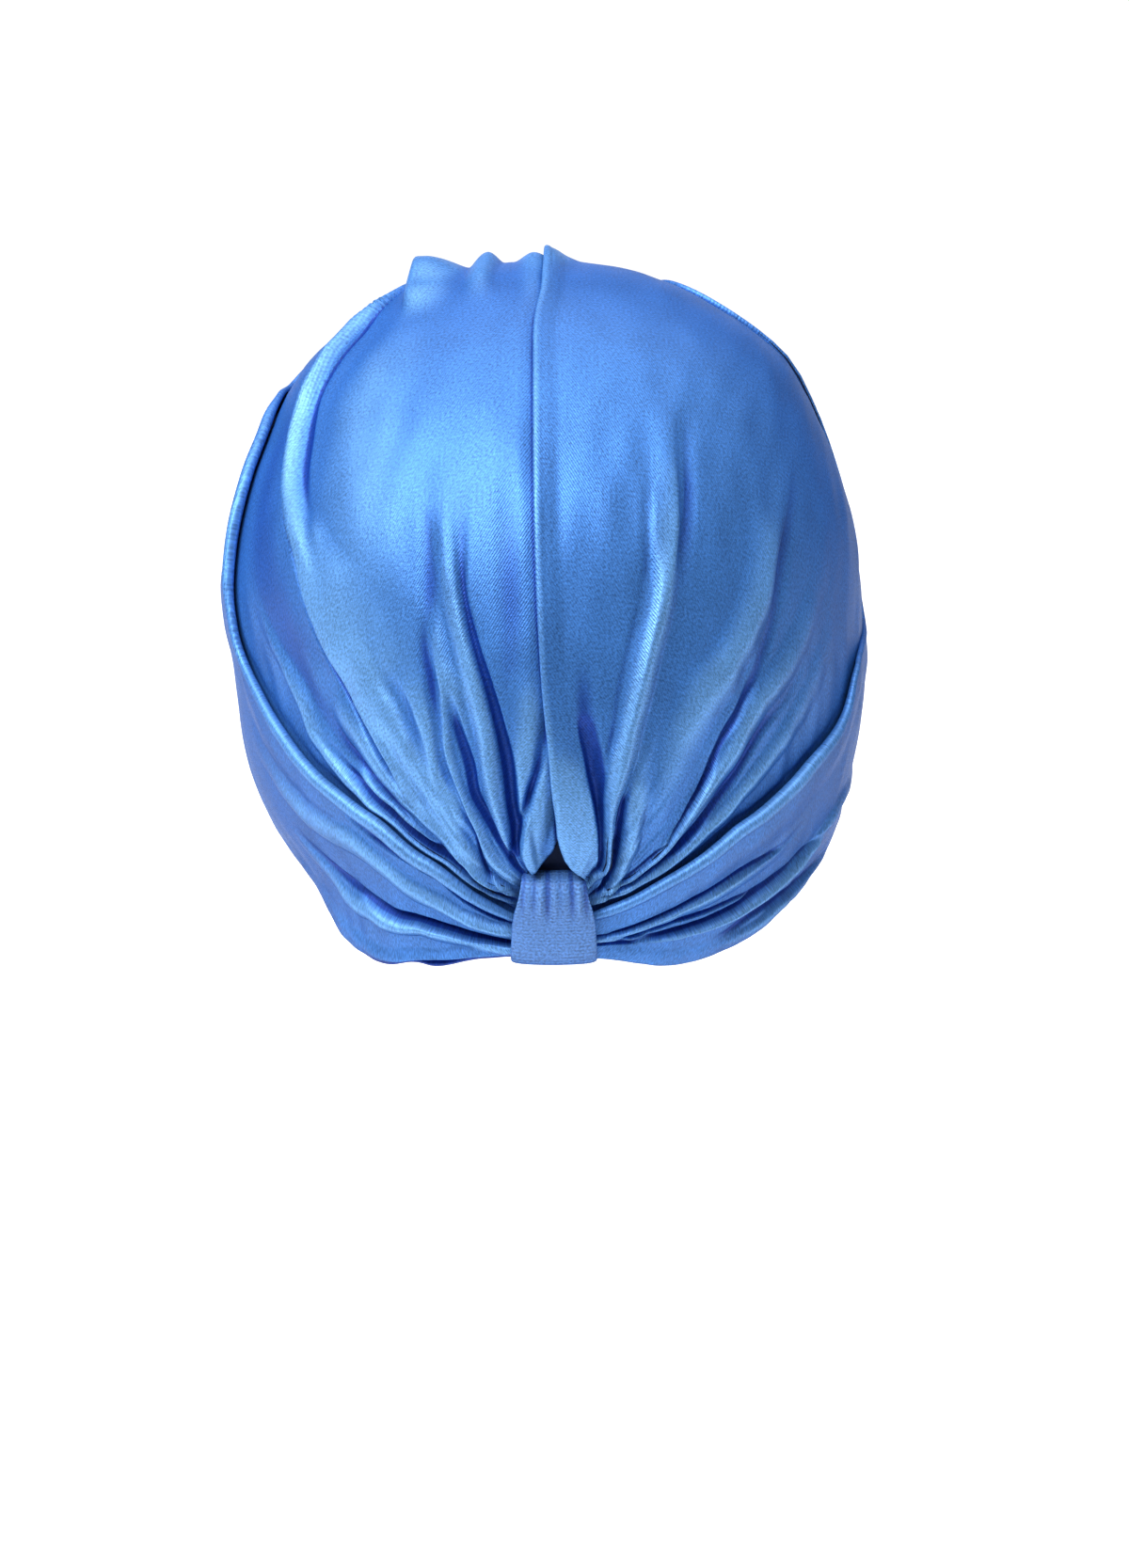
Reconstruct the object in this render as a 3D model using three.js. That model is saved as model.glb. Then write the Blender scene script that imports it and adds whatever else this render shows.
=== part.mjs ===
import * as THREE from 'three';

// A stretch-knit turban cap in its worn shape, in millimetres. +Y is the way the wearer faces,
// +X is the wearer's right and +Z is up. The origin is the point inside the crown that rests on
// top of the head. Two crown panels meet in a seam down the back, two wraps run from the nape
// round the sides to the forehead with a rolled upper edge, and a loop gathers all four at the nape.

// Driving sizes
const headWidth = 170; // across the head under the cap, at its widest level
const headDepth = 192; // from the back of the head to the forehead, at the same level
const crownRise = 95; // from the widest level up to the top of the head
const cloth = 1.5; // wall of the doubled knit
const clearance = 0.3; // between two pieces that lie together
const lapClearance = 0.8; // between a wrap and the crown panel under it
const foldHeight = 3.5; // how far a full fold stands off the cloth beside it
const gatherLoft = 1.6; // how far gathered cloth stands off the head
const rollHeight = 3.4; // how far the rolled edge of a wrap stands up
const rollWidth = 12; // across that roll
const lapWidth = 7; // how far a crown panel runs in under a wrap
const hemRoll = 0.8; // how far the turned hem stands up
const hemWidth = 6; // across the turned hem
const seamRoll = 1.2; // how far the right panel's turned seam edge stands up
const seamRollWidth = 4; // across that turned edge
const tabWidth = 21; // across the nape loop
const tabWaist = 15; // across its narrow top
const tabHeight = 28; // along the cloth, from its lower to its upper end
const frontPleats = 6; // pleats of each wrap in the forehead seam

// Fineness of the faceted cloth
const alongSteps = 29;
const crownSteps = 23;
const wrapSteps = 19;
const crowding = 1.4; // above 1 it puts more of the steps close to the nape
const tabTurnSteps = 32;
const tabAcrossSteps = 5;

const left = -1; // the wearer's left, towards -X
const right = 1;

// The head's roundness by direction. Tilt is in degrees above the widest level, and the other
// columns are radii as shares of half the width, half the depth and the rise.
const headForm = [
  { tilt: -90, side: 1.25, back: 1.6, front: 0.7 },
  { tilt: -60, side: 1.2, back: 1.25, front: 0.8 },
  { tilt: -45, side: 1.115, back: 1.09, front: 0.86 },
  { tilt: -30, side: 1.055, back: 1.035, front: 0.92 },
  { tilt: -15, side: 1.01, back: 1.004, front: 0.96 },
  { tilt: 0, side: 1, back: 1, front: 0.99 },
  { tilt: 15, side: 1.012, back: 1, front: 1.04 },
  { tilt: 30, side: 1.028, back: 0.993, front: 1.05 },
  { tilt: 45, side: 1.035, back: 0.99, front: 1.03 },
  { tilt: 60, side: 1.022, back: 0.993, front: 1.01 },
  { tilt: 90, side: 1, back: 1, front: 1 },
];

const napeTilt = -49.5; // where the hem crosses the nape
const browTilt = 1; // where the hem crosses the forehead
const napeRadius = crownRise * 1.2; // from the middle of the head to the nape

// The gathered cloth fills the loop between its two ends.
const gatherHeight = tabHeight - 2 * (cloth + clearance);
const gatherAngle = THREE.MathUtils.radToDeg(gatherHeight / napeRadius);

// The cloth is laid out by two numbers: along runs from 0 in the nape loop to 1 in the forehead
// seam, and across runs from 0 on the midline to 1 on the hem. Crown is the midline's angle up
// from the back, around and tilt give the hem, and spread is how far the cloth bows out between.
const layout = [
  { along: 0, crown: napeTilt + gatherAngle, around: 0, tilt: napeTilt, spread: tabWidth / headWidth },
  { along: 0.03, crown: napeTilt + 1.2 * gatherAngle, around: 5, tilt: napeTilt, spread: (1.6 * tabWidth) / headWidth },
  { along: 0.06, crown: -32.5, around: 12, tilt: napeTilt, spread: 0.28 },
  { along: 0.12, crown: -25, around: 27, tilt: -51, spread: 0.42 },
  { along: 0.2, crown: -14, around: 46, tilt: -49, spread: 0.62 },
  { along: 0.35, crown: 14, around: 73, tilt: -39, spread: 0.95 },
  { along: 0.5, crown: 45, around: 98, tilt: -28, spread: 1.15 },
  { along: 0.7, crown: 85, around: 127, tilt: -14, spread: 1.1 },
  { along: 0.85, crown: 108, around: 152, tilt: -5, spread: 0.6 },
  { along: 1, crown: 122, around: 180, tilt: browTilt, spread: 0 },
];

// Where each wrap's rolled edge crosses, and how high it stands as a share of rollHeight
const wrapEdges = {
  wrap_left: [
    { along: 0, across: 0.56, roll: 0.7 },
    { along: 0.05, across: 0.58, roll: 0.8 },
    { along: 0.1, across: 0.625, roll: 0.9 },
    { along: 0.19, across: 0.64, roll: 1 },
    { along: 0.26, across: 0.7, roll: 1 },
    { along: 0.33, across: 0.737, roll: 0.9 },
    { along: 0.42, across: 0.742, roll: 0.75 },
    { along: 0.49, across: 0.68, roll: 0.6 },
    { along: 0.56, across: 0.6, roll: 0.5 },
    { along: 0.65, across: 0.515, roll: 0.4 },
    { along: 0.8, across: 0.43, roll: 0.5 },
    { along: 0.9, across: 0.41, roll: 0.6 },
    { along: 1, across: 0.45, roll: 0.8 },
  ],
  wrap_right: [
    { along: 0, across: 0.58, roll: 0.7 },
    { along: 0.05, across: 0.61, roll: 0.8 },
    { along: 0.1, across: 0.683, roll: 0.9 },
    { along: 0.18, across: 0.688, roll: 1 },
    { along: 0.25, across: 0.734, roll: 0.9 },
    { along: 0.34, across: 0.785, roll: 0.75 },
    { along: 0.43, across: 0.785, roll: 0.5 },
    { along: 0.48, across: 0.86, roll: 0.3 },
    { along: 0.55, across: 0.88, roll: 0.2 },
    { along: 0.6, across: 0.71, roll: 0.2 },
    { along: 0.65, across: 0.53, roll: 0.3 },
    { along: 0.7, across: 0.31, roll: 0.3 },
    { along: 0.8, across: 0.24, roll: 0.5 },
    { along: 0.9, across: 0.3, roll: 0.6 },
    { along: 1, across: 0.42, roll: 0.8 },
  ],
};

// Above the loop the crown panels part and leave a small hole, which the loop passes through.
const seamOpening = [
  { along: 0, across: 0.3 },
  { along: 0.03, across: 0.34 },
  { along: 0.04, across: 0.13 },
  { along: 0.055, across: 0.05 },
  { along: 0.075, across: 0 },
  { along: 1, across: 0 },
];

// How much of the gather's loft and of the tab's room the cloth has at each station.
const stations = { tab: 0.04, low: 0.14, mid: 0.33, top: 0.65, front: 1 };
const loftAt = { tab: 0.7, low: 1, mid: 0.35, top: 0, front: 0.6 };

// The folds: where each one's crest runs, as a share of its panel's width at the five stations,
// its half widths towards the seam and the hem, and its height as a share of foldHeight.
const folds = {
  crown_left: [
    { crest: at(0.19, 0.03, 0.08, 0.1, 0.1), seamSide: 0.1, hemSide: 0.07, height: at(0.7, 0.7, 0.1, 0, 0) },
    { crest: at(0.28, 0.27, 0.22, 0.22, 0.22), seamSide: 0.06, hemSide: 0.08, height: at(0.7, 0.75, 0.4, 0, 0) },
    { crest: at(0.5, 0.46, 0.32, 0.3, 0.3), seamSide: 0.07, hemSide: 0.07, height: at(0.5, 0.65, 0.1, 0, 0) },
    { crest: at(0.7, 0.62, 0.58, 0.5, 0.5), seamSide: 0.1, hemSide: 0.07, height: at(0.5, 0.6, 0.2, 0, 0) },
    { crest: at(0.8, 0.76, 0.68, 0.55, 0.55), seamSide: 0.14, hemSide: 0.04, height: at(0.4, 0.55, 0.6, 0.9, 0.6) },
    { crest: at(0.9, 0.93, 0.89, 0.9, 0.9), seamSide: 0.05, hemSide: 0.05, height: at(0.4, 0.55, 0.6, 0, 0) },
    { crest: at(0.03, 0.03, 0.03, 0.03, 0.07), seamSide: 0.1, hemSide: 0.1, height: at(0, 0, 0, 0.9, 0.5) },
    { crest: at(0.2, 0.2, 0.2, 0.17, 0.4), seamSide: 0.07, hemSide: 0.09, height: at(0, 0, 0, 1.1, 0.6) },
    { crest: at(0.4, 0.4, 0.4, 0.38, 0.6), seamSide: 0.2, hemSide: 0.08, height: at(0, 0, 0, 1.4, 0.8) },
  ],
  crown_right: [
    { crest: at(0.23, 0.11, 0.06, 0.04, 0.04), seamSide: 0.14, hemSide: 0.12, height: at(0.6, 0.6, 0.1, 0, 0) },
    { crest: at(0.51, 0.3, 0.27, 0.24, 0.24), seamSide: 0.06, hemSide: 0.05, height: at(0.75, 0.95, 0.7, 0.1, 0) },
    { crest: at(0.83, 0.46, 0.4, 0.36, 0.36), seamSide: 0.06, hemSide: 0.07, height: at(0.5, 0.5, 0.1, 0, 0) },
    { crest: at(0.75, 0.6, 0.57, 0.55, 0.55), seamSide: 0.1, hemSide: 0.06, height: at(0.2, 0.3, 0.55, 0, 0) },
    { crest: at(0.87, 0.8, 0.75, 0.7, 0.7), seamSide: 0.06, hemSide: 0.05, height: at(0.4, 0.55, 0.4, 0, 0) },
    { crest: at(0.95, 0.92, 0.87, 0.8, 0.8), seamSide: 0.05, hemSide: 0.04, height: at(0.3, 0.45, 0.3, 0, 0) },
    { crest: at(0.03, 0.03, 0.03, 0.03, 0.1), seamSide: 0.1, hemSide: 0.2, height: at(0, 0, 0, 0.9, 0.6) },
  ],
  wrap_left: [
    { crest: at(0.49, 0.42, 0.38, 0.35, 0.35), seamSide: 0.18, hemSide: 0.18, height: at(0.5, 0.65, 0.3, 0, 0) },
    { crest: at(0.84, 0.75, 0.68, 0.6, 0.6), seamSide: 0.1, hemSide: 0.12, height: at(0.4, 0.55, 0.2, 0.1, 0) },
  ],
  wrap_right: [
    { crest: at(0.2, 0.25, 0.25, 0.25, 0.25), seamSide: 0.14, hemSide: 0.1, height: at(0.4, 0.4, 0.2, 0, 0) },
    { crest: at(0.55, 0.52, 0.5, 0.5, 0.5), seamSide: 0.08, hemSide: 0.08, height: at(0.4, 0.4, 0.2, 0, 0) },
    { crest: at(0.8, 0.78, 0.7, 0.7, 0.7), seamSide: 0.08, hemSide: 0.1, height: at(0.5, 0.6, 0.45, 0.1, 0) },
    { crest: at(0.8, 0.8, 0.8, 0.8, 0.8), seamSide: 0.4, hemSide: 0.35, height: at(0.2, 0.6, 0.4, 0, 0) },
  ],
};

// One value for each station
function at(tab, low, mid, top, front) {
  return { tab, low, mid, top, front };
}

// A smooth curve through one column of a table, read at a place in its first column
function readColumn(rows, key, column, place) {
  const last = rows.length - 1;
  const x = THREE.MathUtils.clamp(place, rows[0][key], rows[last][key]);
  let i = 0;
  while (i < last - 1 && x > rows[i + 1][key]) i += 1;
  const slope = (k) => {
    const before = rows[Math.max(k - 1, 0)];
    const after = rows[Math.min(k + 1, last)];
    return (after[column] - before[column]) / (after[key] - before[key]);
  };
  const span = rows[i + 1][key] - rows[i][key];
  const t = (x - rows[i][key]) / span;
  const rest = 1 - t;
  const ends = rows[i][column] * (1 + 2 * t) * rest * rest + rows[i + 1][column] * (3 - 2 * t) * t * t;
  return ends + span * t * rest * (slope(i) * rest - slope(i + 1) * t);
}

// A value given at the stations, read anywhere along the cloth
function readStations(values, along) {
  const rows = Object.keys(stations).map((name) => ({ along: stations[name], value: values[name] }));
  return readColumn(rows, 'along', 'value', along);
}

// The head's surface in a direction from the middle of the head
function headPoint(direction) {
  const d = direction.clone().normalize();
  const tilt = THREE.MathUtils.radToDeg(Math.asin(THREE.MathUtils.clamp(d.z, -1, 1)));
  const level = Math.max(d.x * d.x + d.y * d.y, 1e-9);
  const sideways = (d.x * d.x) / level;
  const lengthways = readColumn(headForm, 'tilt', d.y > 0 ? 'front' : 'back', tilt);
  const radius = readColumn(headForm, 'tilt', 'side', tilt) * sideways + lengthways * (1 - sideways);
  return new THREE.Vector3((d.x * headWidth) / 2, (d.y * headDepth) / 2, d.z * crownRise).multiplyScalar(radius);
}

// The way out of the head at the point in a direction, square to the surface there
function outward(direction) {
  const d = direction.clone().normalize();
  const axis = Math.abs(d.z) < 0.7 ? new THREE.Vector3(0, 0, 1) : new THREE.Vector3(1, 0, 0);
  const first = axis.cross(d).setLength(0.01);
  const second = d.clone().cross(first);
  const slope = (step) => headPoint(d.clone().add(step)).sub(headPoint(d.clone().sub(step)));
  return slope(first).cross(slope(second)).normalize();
}

// The direction of a place on the cloth of the right side
function layDirection(across, along) {
  const crown = THREE.MathUtils.degToRad(readColumn(layout, 'along', 'crown', along));
  const around = THREE.MathUtils.degToRad(readColumn(layout, 'along', 'around', along));
  const tilt = THREE.MathUtils.degToRad(readColumn(layout, 'along', 'tilt', along));
  const middle = new THREE.Vector3(0, -Math.cos(crown), Math.sin(crown));
  const bow = middle.clone().setX(readColumn(layout, 'along', 'spread', along));
  const hem = new THREE.Vector3(
    Math.sin(around) * Math.cos(tilt),
    -Math.cos(around) * Math.cos(tilt),
    Math.sin(tilt),
  );
  return new THREE.QuadraticBezierCurve3(middle, bow, hem).getPoint(across);
}

// A point at a height above the head, on the cloth of one side
function clothPoint(side, across, along, height) {
  const direction = layDirection(across, along);
  const point = headPoint(direction).addScaledVector(outward(direction), height);
  point.x = side * (point.x + clearance / 2);
  return point;
}

// How much of the way across a length of cloth takes up
function acrossFor(length, across, along) {
  const step = 0.01;
  const moved = clothPoint(right, across - step, along, 0).distanceTo(clothPoint(right, across, along, 0));
  return (length * step) / moved;
}

// A rounded crest, 1 at its top and 0 from its half widths outwards
function crest(offset, seamSide, hemSide) {
  const share = Math.abs(offset) / (offset < 0 ? seamSide : hemSide);
  return share < 1 ? 0.5 + 0.5 * Math.cos(Math.PI * share) : 0;
}

function foldsAt(name, share, along) {
  const total = folds[name].reduce((sum, fold) => {
    const offset = share - readStations(fold.crest, along);
    return sum + readStations(fold.height, along) * crest(offset, fold.seamSide, fold.hemSide);
  }, 0);
  return foldHeight * Math.max(total, 0);
}

const loft = (along) => gatherLoft * Math.max(readStations(loftAt, along), 0);

// Inside the loop the folds are pressed flat.
const pressed = (along) => THREE.MathUtils.smoothstep(along, 0, stations.tab * 2);

const openingAcross = (along) => Math.max(readColumn(seamOpening, 'along', 'across', along), 0);

const wrapOf = (side) => wrapEdges[side === left ? 'wrap_left' : 'wrap_right'];

const edgeAcross = (side, along) => readColumn(wrapOf(side), 'along', 'across', along);

function crownAcross(side, share, along) {
  const opening = openingAcross(along);
  const edge = edgeAcross(side, along);
  return opening + share * (edge + acrossFor(lapWidth, edge, along) - opening);
}

// The crown panel's folds fade out before the wrap's edge, so that it lies flat under the wrap.
function crownHeight(side, name, across, along) {
  const opening = openingAcross(along);
  const edge = edgeAcross(side, along);
  const share = (across - opening) / (edge - opening);
  const fade = acrossFor(lapWidth, edge, along);
  const flat = THREE.MathUtils.smoothstep(across, edge - fade, edge - 0.2 * fade);
  const fold = foldsAt(name, share, along) * (1 - flat) * pressed(along);
  const seamShare = (across - opening) / acrossFor(seamRollWidth, 0.01 + opening, along);
  const roll = side === right ? seamRoll * crest(seamShare, 1, 1) * pressed(along) : 0;
  return loft(along) + fold + roll;
}

const wrapAcross = (side, share, along) => {
  const edge = edgeAcross(side, along);
  return edge + share ** 1.2 * (1 - edge);
};

// The wrap lies over the crown panel by its rolled edge, and on the head beyond the panel.
function wrapHeight(side, name, across, along) {
  const edge = edgeAcross(side, along);
  const share = (across - edge) / (1 - edge);
  const lap = acrossFor(lapWidth, edge, along);
  const roll = acrossFor(rollWidth, edge, along);
  const over = 1 - THREE.MathUtils.smoothstep(across - edge, lap * 1.1, lap * 1.1 + roll);
  const rolled =
    readColumn(wrapOf(side), 'along', 'roll', along) *
    Math.sin(Math.PI * THREE.MathUtils.clamp((across - edge) / roll, 0, 1) ** 0.6);
  const pleats = 0.5 - 0.5 * Math.cos(2 * Math.PI * frontPleats * share);
  const gathered = THREE.MathUtils.smoothstep(along, stations.top, 1) * 0.9;
  const inner = THREE.MathUtils.smoothstep(share, 0, 0.15);
  const hem = crest((1 - across) / acrossFor(hemWidth, 0.99, along), 1, 1);
  return (
    loft(along) +
    over * (cloth + lapClearance + gatherLoft * 0.5 * gathered) +
    rollHeight * rolled * pressed(along) +
    foldsAt(name, share, along) * inner * pressed(along) +
    foldHeight * pleats * gathered +
    hemRoll * hem * pressed(along)
  );
}

// A closed wall: an outer grid of points, an inner grid below it and a rim joining their edges.
// A point of either grid is pointAt(column, row, layer), with layer 1 outside and 0 inside.
function wall(columns, rows, pointAt, closedRows) {
  const positions = [];
  const index = [];
  const rowCount = closedRows ? rows : rows + 1;
  for (const layer of [1, 0]) {
    for (let row = 0; row < rowCount; row += 1) {
      for (let column = 0; column <= columns; column += 1) {
        positions.push(...pointAt(column / columns, row / rows, layer).toArray());
      }
    }
  }
  const vertex = (column, row, layer) =>
    (1 - layer) * rowCount * (columns + 1) + (row % rowCount) * (columns + 1) + column;
  const quad = (a, b, c, d) => index.push(a, b, c, a, c, d);
  for (let row = 0; row < rows; row += 1) {
    for (let column = 0; column < columns; column += 1) {
      for (const layer of [1, 0]) {
        const corners = [
          vertex(column, row, layer),
          vertex(column + 1, row, layer),
          vertex(column + 1, row + 1, layer),
          vertex(column, row + 1, layer),
        ];
        quad(...(layer ? corners : corners.reverse()));
      }
    }
    quad(vertex(0, row, 0), vertex(0, row, 1), vertex(0, row + 1, 1), vertex(0, row + 1, 0));
    quad(
      vertex(columns, row + 1, 0),
      vertex(columns, row + 1, 1),
      vertex(columns, row, 1),
      vertex(columns, row, 0),
    );
  }
  if (!closedRows) {
    for (let column = 0; column < columns; column += 1) {
      quad(vertex(column + 1, 0, 0), vertex(column + 1, 0, 1), vertex(column, 0, 1), vertex(column, 0, 0));
      quad(
        vertex(column, rows, 0),
        vertex(column, rows, 1),
        vertex(column + 1, rows, 1),
        vertex(column + 1, rows, 0),
      );
    }
  }
  const geometry = new THREE.BufferGeometry();
  geometry.setAttribute('position', new THREE.Float32BufferAttribute(positions, 3));
  geometry.setIndex(index);
  return geometry;
}

// Turns every face round, for a wall whose grid is mirrored
function turned(geometry) {
  const index = Array.from(geometry.index.array);
  for (let i = 0; i < index.length; i += 3) [index[i + 1], index[i + 2]] = [index[i + 2], index[i + 1]];
  geometry.setIndex(index);
  return geometry;
}

function panel(side, name, steps, acrossAt, heightAt) {
  const geometry = wall(steps, alongSteps, (column, row, layer) => {
    const along = row ** crowding;
    const across = acrossAt(side, column, along);
    return clothPoint(side, across, along, heightAt(side, name, across, along) + layer * cloth);
  });
  return side === left ? turned(geometry) : geometry;
}

// The nape loop: a band round the gathered cloth, narrow at its top, that follows the nape
function napeTab() {
  const innerFace = -clearance;
  const outerFace = gatherLoft + 2 * cloth + 3 * clearance + foldHeight * 0.3;
  const middle = (innerFace + outerFace) / 2;
  const halfDepth = (outerFace - innerFace) / 2;
  const halfHeight = gatherHeight / 2 + clearance;
  const corner = 0.5; // 2 over the power of the loop's rounded-box outline
  const rounded = (value) => Math.sign(value) * Math.abs(value) ** corner;
  return wall(tabAcrossSteps, tabTurnSteps, (column, turn, layer) => {
    const angle = -2 * Math.PI * turn;
    const rise = (halfHeight + layer * cloth) * rounded(Math.cos(angle));
    const depth = middle + (halfDepth + layer * cloth) * rounded(Math.sin(angle));
    const taper = THREE.MathUtils.smoothstep(rise / halfHeight, 0, 1);
    const x = THREE.MathUtils.lerp(tabWidth, tabWaist, taper) * (column - 0.5);
    const tilt = THREE.MathUtils.degToRad(napeTilt) + (gatherHeight / 2 + rise) / napeRadius;
    const sideways = (2 * x * crownRise) / (headWidth * napeRadius);
    const back = Math.sqrt(Math.cos(tilt) ** 2 - sideways ** 2);
    const direction = new THREE.Vector3(sideways, -back, Math.sin(tilt));
    return headPoint(direction).addScaledVector(outward(direction), depth);
  }, true);
}

const clothBlue = new THREE.MeshStandardMaterial({ color: 0x4a86dc, roughness: 0.42, metalness: 0.15 });
const tabBlue = new THREE.MeshStandardMaterial({ color: 0x6f93d8, roughness: 0.6, metalness: 0.05 });

const cap = new THREE.Group();
cap.position.z = -crownRise;

function addPiece(name, geometry, material) {
  geometry.computeVertexNormals();
  const mesh = new THREE.Mesh(geometry, material);
  mesh.name = name;
  cap.add(mesh);
}

for (const side of [left, right]) {
  const hand = side === left ? 'left' : 'right';
  addPiece(`crown_${hand}`, panel(side, `crown_${hand}`, crownSteps, crownAcross, crownHeight), clothBlue);
  addPiece(`wrap_${hand}`, panel(side, `wrap_${hand}`, wrapSteps, wrapAcross, wrapHeight), clothBlue);
}
addPiece('nape_tab', napeTab(), tabBlue);

const turban = new THREE.Group();
turban.add(cap);

export default turban;
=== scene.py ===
# %% [markdown]
# # A gathered turban cap, seen from the back
# Stretch cloth on a head follows the head, and what the eye reads are its folds. So the cap is
# built in three layers: the head's roundness, the way the cloth is laid over it, and the folds
# as heights on that lay. Lengths below are in millimetres and turn into metres at the end.

import bpy
import numpy as np
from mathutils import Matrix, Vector


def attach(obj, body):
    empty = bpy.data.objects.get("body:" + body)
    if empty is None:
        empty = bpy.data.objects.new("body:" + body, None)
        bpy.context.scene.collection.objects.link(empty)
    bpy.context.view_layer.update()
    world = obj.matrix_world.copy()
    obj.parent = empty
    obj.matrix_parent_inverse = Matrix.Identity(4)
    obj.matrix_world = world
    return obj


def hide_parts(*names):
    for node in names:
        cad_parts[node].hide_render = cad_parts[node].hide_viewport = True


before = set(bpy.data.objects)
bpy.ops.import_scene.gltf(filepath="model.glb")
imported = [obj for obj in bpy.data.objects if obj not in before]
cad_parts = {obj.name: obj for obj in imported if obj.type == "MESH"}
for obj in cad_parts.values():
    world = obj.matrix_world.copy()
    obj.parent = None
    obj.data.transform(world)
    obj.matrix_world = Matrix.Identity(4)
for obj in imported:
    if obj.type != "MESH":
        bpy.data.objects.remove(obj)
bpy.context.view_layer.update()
print("frame nodes:", sorted(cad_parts))

# %% [markdown]
# ## Driving sizes
# The head's half sizes come from the photo's scale, 0.262 mm to a pixel, and a head 170 mm wide.
# The left and right sides are the wearer's, and the photo shows them the same way round.

# %% Driving sizes
HALF_WIDTH, HALF_DEPTH, RISE = 85.0, 96.0, 95.0
CLOTH = 1.3
LEFT, RIGHT = -1, 1
METRES = 0.001
TURN = 6.28
print("head, mm:", 2 * HALF_WIDTH, "wide,", 2 * HALF_DEPTH, "deep")

# %% [markdown]
# ## Reading a table
# A table's first column is a place. A place between two rows is read on a smooth curve through
# them, and heights and widths are eased between rows, so that they never overshoot.


# %% Reading a table
def smooth(rows, column, place):
    table = np.asarray(rows, float)
    x, y = table[:, 0], table[:, column]
    slope = np.gradient(y, x)
    i = np.clip(np.searchsorted(x, place, side="right") - 1, 0, len(x) - 2)
    span = x[i + 1] - x[i]
    t = np.clip((place - x[i]) / span, 0, 1)
    ends = y[i] * (1 + 2 * t) * (1 - t) ** 2 + y[i + 1] * (3 - 2 * t) * t**2
    return ends + span * t * (1 - t) * (slope[i] * (1 - t) - slope[i + 1] * t)


def eased(rows, column, place):
    table = np.asarray(rows, float)
    x, y = table[:, 0], table[:, column]
    i = np.clip(np.searchsorted(x, place, side="right") - 1, 0, len(x) - 2)
    t = np.clip((place - x[i]) / (x[i + 1] - x[i]), 0, 1)
    return y[i] + (y[i + 1] - y[i]) * t * t * (3 - 2 * t)


def ramp(x, low, high):
    t = np.clip((x - low) / (high - low), 0, 1)
    return t * t * (3 - 2 * t)


print("a ramp from 0 to 2 at 0.5, 1 and 1.5:", ramp(np.array([0.5, 1, 1.5]), 0, 2).tolist())


# %% [markdown]
# ## The head and the lay of the cloth
# `HEAD_FORM` holds radii by tilt above the widest level, as shares of the three half sizes.
# `LAYOUT` says how the cloth runs: `along` goes from the nape loop (0) to the forehead (1), and
# `across` from the middle (0) to the hem (1). At each station the cloth is an arch from the
# midline to the hem, bowed out by `spread`. Heights are added along the head's own normal.

# %% The head and the lay of the cloth
HEAD_FORM = [  # tilt, side, back, front
    (-90, 1.25, 1.6, 0.7),
    (-60, 1.2, 1.25, 0.8),
    (-45, 1.115, 1.09, 0.86),
    (-30, 1.055, 1.035, 0.92),
    (-15, 1.01, 1.004, 0.96),
    (0, 1, 1, 0.99),
    (15, 1.012, 1, 1.04),
    (30, 1.028, 0.993, 1.05),
    (45, 1.035, 0.99, 1.03),
    (60, 1.022, 0.993, 1.01),
    (90, 1, 1, 1),
]
LAYOUT = [  # along, crown angle, hem around, hem tilt, spread
    (0, -37.5, 0, -49.5, 0.124),
    (0.03, -35.1, 5, -49.5, 0.198),
    (0.06, -32.5, 12, -49.5, 0.28),
    (0.12, -25, 27, -51, 0.42),
    (0.2, -14, 46, -49, 0.62),
    (0.35, 14, 73, -39, 0.95),
    (0.5, 45, 98, -28, 1.15),
    (0.7, 85, 127, -14, 1.1),
    (0.85, 108, 152, -5, 0.6),
    (1, 122, 180, 1, 0),
]


def unit(v):
    return v / np.maximum(np.linalg.norm(v, axis=-1, keepdims=True), 1e-12)


def head_point(direction):
    d = unit(direction)
    tilt = np.degrees(np.arcsin(np.clip(d[..., 2], -1, 1)))
    level = np.maximum(d[..., 0] ** 2 + d[..., 1] ** 2, 1e-9)
    sideways = d[..., 0] ** 2 / level
    front, back = smooth(HEAD_FORM, 3, tilt), smooth(HEAD_FORM, 2, tilt)
    lengthways = np.where(d[..., 1] > 0, front, back)
    radius = smooth(HEAD_FORM, 1, tilt) * sideways + lengthways * (1 - sideways)
    return d * radius[..., None] * [HALF_WIDTH, HALF_DEPTH, RISE]


def outward(direction):
    d = unit(direction)
    level = np.abs(d[..., 2:]) < 0.7
    axis = np.where(level, [0.0, 0.0, 1.0], [1.0, 0.0, 0.0])
    first = unit(np.cross(axis, d)) * 0.01
    second = np.cross(d, first)
    run = head_point(d + first) - head_point(d - first)
    rise = head_point(d + second) - head_point(d - second)
    return unit(np.cross(run, rise))


def lay(side, across, along):
    crown, around, tilt = (np.radians(smooth(LAYOUT, k, along)) for k in (1, 2, 3))
    zero = np.zeros_like(crown)
    middle = np.stack([zero, -np.cos(crown), np.sin(crown)], -1)
    bow = middle + np.stack([smooth(LAYOUT, 4, along), zero, zero], -1)
    level = np.cos(tilt)
    hem = np.stack([np.sin(around) * level, -np.cos(around) * level, np.sin(tilt)], -1)
    u = across[..., None]
    arch = (1 - u) ** 2 * middle + 2 * u * (1 - u) * bow + u**2 * hem
    return arch * [side, 1, 1]


probe = head_point(lay(RIGHT, np.array([0.0, 0.5, 1.0]), np.full(3, 0.35)))
print("an arch at along 0.35, mm:", np.round(probe, 1).tolist())

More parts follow.
